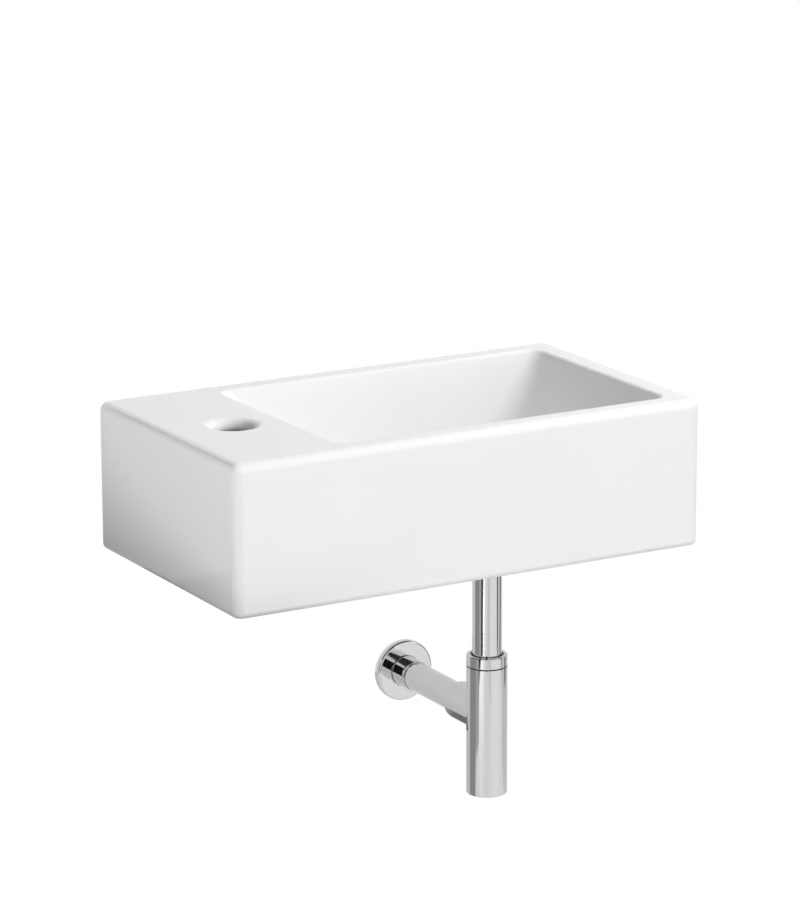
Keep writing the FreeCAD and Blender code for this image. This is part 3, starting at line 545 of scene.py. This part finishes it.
# Collar nut: a threaded skirt and a lip that closes it, turned from one profile.
def makeCollar():
    centre, radius, foot, top = nodeRound("collar_nut")
    d = collarDetail
    # a real gap, darkened further by the painted seam shade in the collar's chrome
    foot += d["seam"]          # the seam shows as a fine dark line
    under = top - d["lip"]
    makeTurned("chrome_collar", [(d["thread"], foot, 0.1), (radius, foot, d["footEdge"]), (radius, top, d["edge"]),
                                 (d["bore"], top, 0.35), (d["bore"], under, 0.1), (d["thread"], under, 0.1)],
               centre, seamShadedChromium, "trap", "collar_nut", steps=5, hold=0.08)


trapDetail = {"wall": 1.8, "neckRadius": 16.8, "neckHeight": 5.8, "neckWall": 1.6, "ledge": 13.4,
              "sealHeight": 6, "footRound": 1.0, "seamRound": 0.4, "branchRadius": 17, "branchBore": 13.1,
              "branchRound": 1.2, "branchInside": 8, "waterway": 13.05, "filletSide": 0.55, "filletTop": 3.0}


# Trap: a turned bottle, opened where the branch leaves it, and the branch as a stack of rings from a saddle on
# the bottle out to its rim. The fillet between them widens with the steepness of the joint.
def makeTrap():
    d = trapDetail
    low, high = corners("trap_body")
    centre = nodeRound("tailpipe")[0]
    radius = (high[0] - low[0]) / 2
    foot, neckTop, neck, branch = low[2], high[2], d["neckRadius"], d["branchRadius"]
    seam = neckTop - d["neckHeight"]
    ledge = neckTop - d["sealHeight"]
    bore, neckBore = radius - d["wall"], neck - d["neckWall"]
    profile = roundCorners([(bore, foot, 0.3), (radius, foot, d["footRound"]), (radius, seam, d["seamRound"]),
        (neck, seam, 0.1), (neck, neckTop, 0.4), (neckBore, neckTop, 0.3),
        (neckBore, ledge, 0.2), (d["ledge"], ledge, 0.2), (d["ledge"], ledge - 1.6, 0.2),
        (bore, ledge - 3.2, 0.3)], steps=5, hold=0.08)
    end, inside = high[1] - centre[1], d["branchInside"]
    angle = np.linspace(0, 2 * math.pi, 160, endpoint=False)
    steep = np.abs(np.sin(angle)) ** 1.5

    # a ring round the branch's axis, laid on the bottle's cylinder
    def onBottle(ring):
        across = ring * np.cos(angle)
        return np.stack([across, np.sqrt(np.maximum(radius ** 2 - across ** 2, 0)), ring * np.sin(angle)], -1)
    reach = d["filletSide"] + (d["filletTop"] - d["filletSide"]) * steep
    saddle = onBottle(branch + 0 * angle)
    flank = onBottle(np.minimum(branch + reach, radius - 0.02))
    lift = saddle + np.stack([0 * angle, 1.2 * reach + 0.8, 0 * angle], -1)
    fillet = arcBetween(flank, saddle, lift, 0.75, 8)
    buried = flank * np.array([0.97, 0.9, 0.97])          # a little inside the bottle's skin
    rim = roundCorners([(branch, end - 4, 0), (branch, end, d["branchRound"]),
                        (d["branchBore"], end, 0.4), (d["branchBore"], inside, 0)], closed=False, steps=6, hold=0.08)
    rings = np.stack([rim[:, :1] * np.cos(angle), rim[:, 1:] + 0 * angle, rim[:, :1] * np.sin(angle)], -1)
    rows = np.vstack([buried[None], fillet, rings])
    place = np.array([centre[0], centre[1], nodeRound("outlet_pipe", "Y")[0][2]])
    past = radius + 3
    waterway = np.array([(0, inside), (d["waterway"], inside), (d["waterway"], past), (0, past)])
    bottle = carved(lathe(profile, centre), lathe(waterway, place, "Y", 96))
    arm = (rows + place).reshape(-1, 3), gridFaces(len(rows), len(angle), closeRows=True)
    makePiece("chrome_trap", joinSurfaces(bottle, arm), seamShadedChromium, "trap", ["trap_body"])


rosetteDetail = {"wall": 1.2, "edge": 2.2, "lip": 5, "holeRound": 0.5, "clearance": 0.3, "sleeveWall": 1.0}


# Pipe to the wall with its slimmer end, the sleeve on it, and the dished plate, each turned from a profile.
def makeOutlet():
    d = rosetteDetail
    centre, radius, start, end = nodeRound("outlet_pipe", "Y")
    inner, slim, step = radius - tube["wall"], radius - tube["spigotStep"], end - tube["spigot"]
    makeTurned("chrome_outlet_pipe", [(inner, start, 0.3), (radius, start, 0.3), (radius, step, 0.1),
                                      (slim, step, 0.1), (slim, end, 0.4), (inner, end, 0.3)],
               centre, chromium, "outlet", "outlet_pipe", "Y", steps=3, hold=0.03)
    _, sleeve, near, far = nodeRound("wall_sleeve", "Y")
    bore = sleeve - d["sleeveWall"]
    makeTurned("chrome_sleeve", [(bore, near, 0.25), (sleeve, near, 0.3), (sleeve, far, 0.3), (bore, far, 0.25)],
               centre, chromium, "outlet", "wall_sleeve", "Y", hold=0.05)
    _, plate, face, back = nodeRound("rosette", "Y")
    hole, inner, dish = sleeve + d["clearance"], plate - d["wall"], face + d["wall"]
    makeTurned("chrome_rosette", [(hole, face, d["holeRound"]), (plate, face, d["edge"]), (plate, back, 0.3),
                                  (inner, back, 0.3), (inner, dish, 1.0), (hole + d["wall"], dish, 0.5),
                                  (hole + d["wall"], face + d["lip"], 0.2), (hole, face + d["lip"], 0.2)],
               centre, chromium, "rosette", "rosette", "Y", steps=8, hold=0.1, around=160)


# Bar with soft edges over a rounded plan: the plan's inset goes round at its foot and its top.
def softBar(left, right, front, back, corner, foot, top, soft):
    turn = np.linspace(0, math.pi / 2, 4)
    inset = soft * np.concatenate([1 - np.sin(turn), (1 - np.sin(turn))[::-1]])[:, None]
    level = np.concatenate([foot + soft * (1 - np.cos(turn)), (top - soft * (1 - np.cos(turn)))[::-1]])
    rings = raised(roundedRing(left + inset, right - inset, front + inset, back - inset, corner - inset * 0.9, 6)[0],
                   level[:, None, None])
    return joinSurfaces(stackSurface(rings), flatFill(rings[0]), flatFill(rings[-1]))


# A surface turned about the upright axis by an angle, then moved to the centre.
def turnedAbout(surface, angle, centre):
    points, faces = surface
    cosine, sine = math.cos(angle), math.sin(angle)
    return points @ np.array([(cosine, sine, 0), (-sine, cosine, 0), (0, 0, 1)]) + centre, faces


# G 1 1/4 waste: 11 threads to the inch is 2.31 mm of pitch
waste = {"flangeEdge": 1.0, "seat": 23.0, "bore": 14.2, "seatDepth": 3.5, "crest": 16.6, "root": 15.5,
         "pitch": 2.31, "flangeThick": 4.0, "armWidth": 2.5, "hub": 5.0, "hubBore": 3.1, "armTop": 27.0,
         "armThick": 4.0, "lockFlats": 44, "lockBore": [(17.6, 7), (16.7, 6.1), (16.7, 0.9), (17.6, 0)],
         "couplingFlats": 39, "couplingBore": [(17.4, 19.5), (16.7, 18.8), (16.7, 3.5), (13.6, 3.5), (13.3, 3.2),
                                               (13.3, 0.4), (13.7, 0)]}


# Flanged tail whose outside is thread rows, with the hub and its arms inside it, and the two nuts on it.
def makeWaste():
    d = waste
    centre, flange, foot, top = nodeRound("waste_flange")
    under, seat = top - d["flangeThick"], top - d["seatDepth"]
    steps = 72
    head = roundCorners([(d["root"], under - 1.5, 0), (d["crest"] - 0.3, under - 1.4, 0.2),
                         (d["crest"] - 0.3, under, 0.2), (flange, under, 0.3), (flange, top, d["flangeEdge"]),
                         (d["seat"], top, 0.8),
                         (d["bore"], seat, 0.8), (d["bore"], foot, 0.5), (d["root"] - 0.2, foot, 0.3),
                         (d["root"], foot + 0.8, 0)], closed=False, steps=5, hold=0.08)
    rows = np.vstack([ringRows(head, steps),
                      threadRows(foot + 0.8, under - 1.5, d["root"], d["crest"], d["pitch"], steps)])
    # three arms and a hub carry the plug's cartridge across the bore
    high = corners("basin")[1][2] - basin["bowlDepth"] - d["armTop"]
    low = high - d["armThick"]
    hub = lathe(roundCorners([(d["hubBore"], low, 0.2), (d["hub"], low, 0.4), (d["hub"], high, 0.4),
                              (d["hubBore"], high, 0.2)], steps=4, hold=0.05), centre, steps=48)
    arm = softBar(d["hub"] - 0.8, d["bore"] + 0.6, -d["armWidth"] / 2, d["armWidth"] / 2, 0.5, low, high, 0.35)
    arms = [turnedAbout(arm, turn, centre) for turn in np.radians((0, 120, 240))]
    makePiece("chrome_waste", joinSurfaces(turnedRows(rows, centre, closeRows=True), hub, *arms), chromium,
              "basin", ["waste_flange"])
    locknut = hexNut("waste_locknut", d["lockFlats"], d["lockBore"])
    makePiece("brass_locknut", locknut, brass, "basin", ["waste_locknut"], sharpAngle=20)
    coupling = hexNut("coupling_nut", d["couplingFlats"], d["couplingBore"])
    makePiece("chrome_coupling_nut", coupling, chromium, "basin", ["coupling_nut"], sharpAngle=20)


plug = {"rim": 2.2, "rimRound": 0.9, "underRound": 0.5, "boss": 5.5, "bossHole": 2.6, "bossLength": 4}


# Plug cap: a shallow dome whose height falls with the square of the radius, rolled over at its rim.
def makePlugCap():
    d = plug
    centre, radius, foot, apex = nodeRound("plug_cap")
    under = foot + d["bossLength"]
    edge = under + d["rim"]
    across = np.linspace(0, radius - 1.6, 16)
    dome = np.stack([across, apex - (apex - edge) * (across / radius) ** 2], -1)
    side = roundCorners([(across[-1], dome[-1, 1], 0), (radius, edge + 0.1, d["rimRound"]),
                         (radius, under, d["underRound"]), (d["boss"], under, 0.4), (d["boss"], foot, 0.4),
                         (d["bossHole"], foot, 0.2), (d["bossHole"], under, 0), (0, under, 0)],
                        closed=False, steps=7, hold=0.1)[1:]
    makePiece("chrome_plug_cap", lathe(np.vstack([dome, side]), centre), chromium, "push_plug", ["plug_cap"])


spring = {"wire": 0.7, "turns": 3.5, "steps": 140, "ring": 12, "travel": 5}


# Coil spring under the cap: its wire follows a helix. It rides with the cap.
def makeSpring():
    d = spring
    centre, radius, foot, top = nodeRound("plug_spring")
    half = d["wire"] / 2
    along = np.linspace(0, 1, d["steps"])[:, None]
    turn = 2 * math.pi * d["turns"] * along
    ring = np.linspace(0, 2 * math.pi, d["ring"], endpoint=False)[None, :]
    reach = radius - half + half * np.cos(ring)
    level = foot + half + (top - foot - 2 * half) * along + half * np.sin(ring)
    rows = np.stack([reach * np.cos(turn), reach * np.sin(turn), level], -1) + np.array([*centre[:2], 0])
    surface = joinSurfaces((rows.reshape(-1, 3), gridFaces(d["steps"], d["ring"])), flatFill(rows[0]),
                           flatFill(rows[-1]))
    piece = makePiece("steel_plug_spring", surface, wire, "push_plug", ["plug_spring"])
    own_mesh(piece)


cleaning = {"wall": 3.0, "edge": 0.9, "groove": 14.4, "grooveHalf": 0.9, "cup": 12.9, "slotLength": 20,
            "slotWidth": 2.5, "slotDepth": 1.4}


# Cleaning plug: a cup turned with a groove for its ring, and a slot cut in its foot.
def makeCleaningPlug():
    d = cleaning
    centre, radius, foot, top = nodeRound("cleaning_plug")
    level = (foot + top) / 2
    profile = roundCorners([(0, foot, 0), (radius, foot, d["edge"]), (radius, level - d["grooveHalf"], 0.2),
                            (d["groove"], level - d["grooveHalf"], 0), (d["groove"], level + d["grooveHalf"], 0),
                            (radius, level + d["grooveHalf"], 0.2), (radius, top, 0.4), (d["cup"], top, 0.4),
                            (d["cup"], foot + d["wall"], 0.6), (0, foot + d["wall"], 0)],
                           closed=False, steps=5, hold=0.08)
    slot = softBar(-d["slotLength"] / 2, d["slotLength"] / 2, -d["slotWidth"] / 2, d["slotWidth"] / 2,
                   d["slotWidth"] / 2 - 0.02, foot - 2, foot + d["slotDepth"], 0.3)
    makePiece("chrome_cleaning_plug", lathe(profile, centre), chromium, "cleaning_plug", ["cleaning_plug"],
              holes=[turnedAbout(slot, 0, centre)])


# M8 hanger bolt: machine thread of 1.25 mm pitch towards the room, wood screw thread of 3.6 mm in the wall
fixing = {"crest": 3.95, "root": 3.35, "pitch": 1.25, "screwCrest": 4.0, "screwRoot": 3.0,
          "screwPitch": 3.6, "tip": 8.0, "nutFlats": 13, "nutBore": 4.05, "nutMouth": 4.6, "nutChamfer": 0.55,
          "hole": 4.3, "bushRadius": 6.7, "bushFlange": 2.0}


# A surface centred at either side of the middle, half the spacing away.
def bothSides(surface):
    points, faces = surface
    middle = (points[:, 0].min() + points[:, 0].max()) / 2
    return joinSurfaces(*((points + np.array([side * basin["boltSpacing"] / 2 - middle, 0, 0]), faces)
                          for side in (-1, 1)))


# Bolts as thread rows that taper to the tip, and the nuts, washers and bushes on them.
def makeFixings():
    d, steps = fixing, 40
    low, high = corners("hanger_bolts")
    start, end = low[1], high[1]
    rows = np.vstack([
        ringRows([(0, start), (d["root"] - 0.5, start), (d["root"], start + 0.5)], steps),
        threadRows(start + 0.5, -0.5, d["root"], d["crest"], d["pitch"], steps),
        ringRows([(d["crest"], -0.2), (d["crest"], 3), (d["screwRoot"], 3.6)], steps),
        threadRows(3.6, end - 1.2, d["screwRoot"], d["screwCrest"], d["screwPitch"], steps),
        ringRows([(d["screwRoot"], end - 1), (0.4, end), (0, end)], steps)])
    rows[..., 0] *= np.clip((end + 0.6 - rows[..., 1]) / d["tip"], 0, 1)
    makePiece("zinc_hanger_bolts", bothSides(turnedRows(rows, (0, 0, 0), "Y")), zinc, "basin", ["hanger_bolts"])
    low, high = corners("fixing_nuts")
    tall, slope = high[1] - low[1], d["nutChamfer"]
    bore = [(d["nutMouth"], tall), (d["nutBore"], tall - slope), (d["nutBore"], slope), (d["nutMouth"], 0)]
    makePiece("zinc_fixing_nuts", bothSides(hexNut("fixing_nuts", d["nutFlats"], bore, "Y", 96)), zinc, "basin",
              ["fixing_nuts"], sharpAngle=20)
    low, high = corners("fixing_washers")
    outer = (high[2] - low[2]) / 2
    makeTurned("zinc_washers", [(d["hole"], low[1], 0.25), (outer, low[1], 0.5), (outer, high[1], 0.15),
                                (d["hole"], high[1], 0.15)],
               (0, 0, 0), zinc, "basin", "fixing_washers", "Y", around=64, pair=bothSides)
    low, high = corners("fixing_bushes")
    outer, inset = (high[2] - low[2]) / 2, low[1] + d["bushFlange"]
    makeTurned("nylon_bushes", [(d["hole"], low[1], 0.3), (outer, low[1], 0.6), (outer, inset, 0.2),
                                (d["bushRadius"], inset, 0.15), (d["bushRadius"], high[1], 0.5),
                                (d["hole"], high[1], 0.3)],
               (0, 0, 0), nylon, "basin", "fixing_bushes", "Y", around=64, pair=bothSides)


makeTailpipe()
makeCollar()
makeTrap()
makeOutlet()
print("trap and outlet made")
makeWaste()
makePlugCap()
makeSpring()
makeCleaningPlug()
makeFixings()
print("waste, plug and fixings made")


camera = {"place": (-1.67496, -3.05876, 0.93924), "yaw": 29.75, "pitch": 14.65, "roll": -0.13,
          "focalPixels": 4070, "photoHeight": 920, "sensor": 36}


# Camera by yaw to the right, pitch downward and roll, with the lens from its focal length in pixels.
def makeCamera():
    data = bpy.data.cameras.new("camera")
    data.sensor_width = camera["sensor"]
    data.lens = camera["focalPixels"] / camera["photoHeight"] * camera["sensor"]
    data.clip_end = 50
    yaw, pitch, roll = (math.radians(camera[key]) for key in ("yaw", "pitch", "roll"))
    ahead = np.array([math.sin(yaw) * math.cos(pitch), math.cos(yaw) * math.cos(pitch), -math.sin(pitch)])
    right = np.array([math.cos(yaw), -math.sin(yaw), 0])
    up = np.cross(right, ahead)
    rolledRight = math.cos(roll) * right + math.sin(roll) * up
    rolledUp = -math.sin(roll) * right + math.cos(roll) * up
    turn = np.stack([rolledRight, rolledUp, -ahead], 1)
    eye = newObject("camera", data)
    eye.matrix_world = Matrix.Translation(camera["place"]) @ Matrix(turn.tolist()).to_4x4()
    bpy.context.scene.camera = eye


# A flat stage piece through its four corners.
def makeSheet(name, corners3d, material):
    mesh = bpy.data.meshes.new(name)
    mesh.from_pydata(corners3d, [], [(0, 1, 2, 3)])
    mesh.materials.append(material)
    sheet = newObject(name, mesh)
    return sheet


floorDetail = {"level": -0.74, "half": 1.9, "colour": "#C4C4C4", "lift": 0.6, "mirrored": 0.42, "grain": 0.025}


# Pale floor that keeps its shadow: camera and mirrors see it lifted by a little light of its own. It is clear from
# below, so that the underside of the part can be looked at.
def makeFloor():
    d = floorDetail
    half, level = d["half"], d["level"]
    material, tree, shader, place = newMaterial("pale studio floor")
    grain = addNode(tree, "TexNoise", {"Vector": place, "Scale": 1 / d["grain"]})
    rough = addNode(tree, "MapRange", {"Value": grain, "To Min": 0.6, "To Max": 0.7})
    path = addNode(tree, "LightPath").outputs
    seen = addNode(tree, "Math", [path["Is Camera Ray"], d["lift"]], operation="MULTIPLY")
    mirrored = addNode(tree, "Math", [path["Is Glossy Ray"], d["mirrored"]], operation="MULTIPLY")
    lift = addNode(tree, "Math", [seen, mirrored], operation="MAXIMUM")
    feed(tree, shader, {"Base Color": d["colour"], "Roughness": rough,
                        "Emission Color": (1, 1, 1, 1), "Emission Strength": lift})
    below = addNode(tree, "NewGeometry").outputs["Backfacing"]
    both = addNode(tree, "MixShader", [below, shader, addNode(tree, "BsdfTransparent")])
    feed(tree, tree.nodes["Material Output"], {"Surface": both})
    makeSheet("floor", [(-half, -half, level), (half, -half, level), (half, half, level), (-half, half, level)],
              material)


wallDetail = {"gap": 0.0004, "half": 1.5, "top": 1.3, "colour": "#B4B4B4", "roughness": 0.8,
              "mirroredLow": 0.5, "mirroredHigh": 0.68, "fadeFrom": -0.26, "fadeTo": -0.14, "clearWithin": 0.004}


# White wall that the basin hangs on. It is white to the camera, dimmer in mirrors, with painted shade that darkens
# it further low down, and clear from behind and at a hair's breadth, so that the back of the part can be looked at.
def makeWall():
    d = wallDetail
    half, top, gap, low = d["half"], d["top"], d["gap"], floorDetail["level"]
    material, tree, shader, place = newMaterial("white wall")
    feed(tree, shader, {"Base Color": d["colour"], "Roughness": d["roughness"]})
    path = addNode(tree, "LightPath").outputs
    level = addNode(tree, "SeparateXYZ", [place]).outputs["Z"]
    # painted shade: to mirrors the wall dims below fadeTo, down to its lowest at fadeFrom
    height = addNode(tree, "MapRange", {"Value": level, "From Min": d["fadeFrom"], "From Max": d["fadeTo"],
                                        "To Min": d["mirroredLow"], "To Max": d["mirroredHigh"]})
    mirrored = addNode(tree, "Math", [path["Is Glossy Ray"], height], operation="MULTIPLY")
    white = addNode(tree, "Math", [path["Is Camera Ray"], mirrored], operation="MAXIMUM")
    front = addNode(tree, "MixShader", [white, shader, addNode(tree, "Emission")])
    near = addNode(tree, "Math", [path["Ray Length"], d["clearWithin"]], operation="LESS_THAN")
    behind = addNode(tree, "NewGeometry").outputs["Backfacing"]
    clear = addNode(tree, "Math", [near, behind], operation="MAXIMUM")
    both = addNode(tree, "MixShader", [clear, front, addNode(tree, "BsdfTransparent")])
    feed(tree, tree.nodes["Material Output"], {"Surface": both})
    makeSheet("wall", [(-half, gap, low), (half, gap, low), (half, gap, top), (-half, gap, top)], material)


# Grey cards that only mirrors see, whose edges give the chrome its bands: painted reflections, the dark ones painted
# shade, such as under the basin and under the branch.
cards = {
    "left_wall_card": {"from": (-1.5, -0.004), "to": (-0.07, -0.004), "levels": (-0.74, -0.06), "glow": 0.33},
    "left_card": {"from": (-1.5, -0.56), "to": (-1.5, -0.004), "levels": (-0.74, 0.6), "glow": 0.48},
    "left_strip": {"from": (-1.49, -0.95), "to": (-1.49, -0.5), "levels": (-0.66, 0.3), "glow": 0.04},
    "front_strip": {"from": (-0.9, -1.89), "to": (-0.15, -1.89), "levels": (-0.735, 0.0), "glow": 0.78},
    "right_card": {"from": (1.5, -0.88), "to": (1.5, -0.004), "levels": (-0.74, 0.6), "glow": 0.7},
    "right_strip": {"from": (1.49, -1.3), "to": (1.49, -0.96), "levels": (-0.66, 0.3), "glow": 0.01},
    "far_strip": {"from": (1.49, -0.3), "to": (1.49, -0.004), "levels": (-0.6, 0.3), "glow": 0.05},
    "under_card": {"corners": [(-0.21, -0.25, -0.0205), (0.21, -0.25, -0.0205), (0.21, -0.012, -0.0205),
                                (-0.21, -0.012, -0.0205)], "glow": 0.05},
    # black to mirrors: a painted reflection that draws a dark line along the china's upper left edge
    "upper_wall_card": {"corners": [(-0.6, -0.004, 0.563), (-0.227, -0.004, 0.115), (-0.227, -0.004, 0.7),
                                     (-0.6, -0.004, 0.7)], "glow": 0.0},
    "front_left_card": {"from": (-1.27, -1.77), "to": (-0.87, -2.01), "levels": (-0.58, 0.75), "glow": 0.01},
    "branch_shade": {"corners": [(0.047, -0.128, -0.1975), (0.09, -0.128, -0.1975), (0.09, -0.06, -0.1975),
                                  (0.047, -0.06, -0.1975)], "glow": 0.2, "fade": (-0.1, -0.07)},
}


# Corners of a card: as given, or of an upright one between two places on the ground and two levels.
def cardCorners(card):
    if "corners" in card:
        return card["corners"]
    (start, end), (low, high) = (card["from"], card["to"]), card["levels"]
    return [(*start, low), (*end, low), (*end, high), (*start, high)]


# Each card glows by its strength to glossy rays and is clear to all others. One with a fade thins out to nothing
# between its two distances from the wall.
def makeCards():
    for name, card in cards.items():
        material, tree, _, place = newMaterial("grey card")
        start, end = card.get("fade", (1, 2))
        depth = addNode(tree, "SeparateXYZ", [place]).outputs["Y"]
        reach = addNode(tree, "MapRange", {"Value": depth, "From Min": start, "From Max": end, "To Min": 1.0,
                                           "To Max": 0.0})
        glossy = addNode(tree, "LightPath").outputs["Is Glossy Ray"]
        share = addNode(tree, "Math", [glossy, reach], operation="MULTIPLY")
        glow = addNode(tree, "Emission", {"Strength": card["glow"]})
        seen = addNode(tree, "MixShader", [share, addNode(tree, "BsdfTransparent"), glow])
        feed(tree, tree.nodes["Material Output"], {"Surface": seen})
        makeSheet(name, cardCorners(card), material)


board = {"corners": [(-0.31, -0.36, -0.05), (-0.12, -0.24, -0.05), (-0.12, -0.004, -0.05), (-0.6, -0.004, -0.05)],
         "colour": "#202020", "roughness": 0.9}


# Black board that keeps the low left light off the foot of the left end.
def makeBoard():
    material, tree, shader, _ = newMaterial("black board")
    feed(tree, shader, {"Base Color": board["colour"], "Roughness": board["roughness"]})
    sheet = makeSheet("board", board["corners"], material)
    sheet.visible_camera = sheet.visible_glossy = False


worldDetail = {"light": 0.135}


# White surroundings, of strength one to the camera, mirrors and clear things, and a weak light to all else.
def makeWorld():
    world = bpy.data.worlds.new("studio")
    bpy.context.scene.world = world
    world.use_nodes = True
    tree = world.node_tree
    path, seen = addNode(tree, "LightPath").outputs, 0.0
    for ray in ("Is Camera Ray", "Is Glossy Ray", "Is Transmission Ray"):
        seen = addNode(tree, "Math", [seen, path[ray]], operation="MAXIMUM")
    strength = addNode(tree, "MapRange", {"Value": seen, "To Min": worldDetail["light"], "To Max": 1.0})
    feed(tree, tree.nodes["Background"], {"Color": (1, 1, 1, 1), "Strength": strength})


# The high right light and the low left one leave the upper left edge dark between them, as in the photograph; a
# painted reflection of upper_wall_card, black to mirrors, darkens it further.
lamps = {
    "front key": {"place": (1.2, -3.0, 1.3), "size": 2.2, "power": 30},
    "front fill": {"place": (0.2, -3.2, 0.3), "size": 2.0, "power": 15},
    "high right": {"place": (1.3, -0.9, 2.1), "size": 1.2, "power": 46},
    "low left": {"place": (-2.2, -1.2, -0.55), "size": 1.2, "power": 39},
}


# Square lamps that shine at the origin, their side level.
def makeLamps():
    for name, lamp in lamps.items():
        data = bpy.data.lights.new(name, "AREA")
        data.shape, data.size, data.energy = "SQUARE", lamp["size"], lamp["power"]
        light = newObject(name, data)
        place = np.array(lamp["place"])
        away = place / np.linalg.norm(place)
        side = np.cross((0, 0, 1), away)
        side /= np.linalg.norm(side)
        light.matrix_world = (Matrix.Translation(lamp["place"])
                              @ Matrix(np.stack([side, np.cross(away, side), away], 1).tolist()).to_4x4())
        light.visible_camera = light.visible_glossy = False


makeCamera()
makeFloor()
makeWall()
makeCards()
makeBoard()
makeWorld()
makeLamps()
bpy.context.scene.view_settings.view_transform = "Standard"

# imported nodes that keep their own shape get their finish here
finishes = {"chrome_brass": chromium, "bare_brass": brass, "zinc_steel": zinc, "spring_steel": wire,
            "black_rubber": rubber, "white_nylon": nylon, "glazed_china": china}
for part in frame["record"]["subparts"]:
    kept = frame["nodes"][part["node"]]
    for slot in kept.material_slots:
        slot.material = finishes[part["material_slot"]]
print("finishes set")
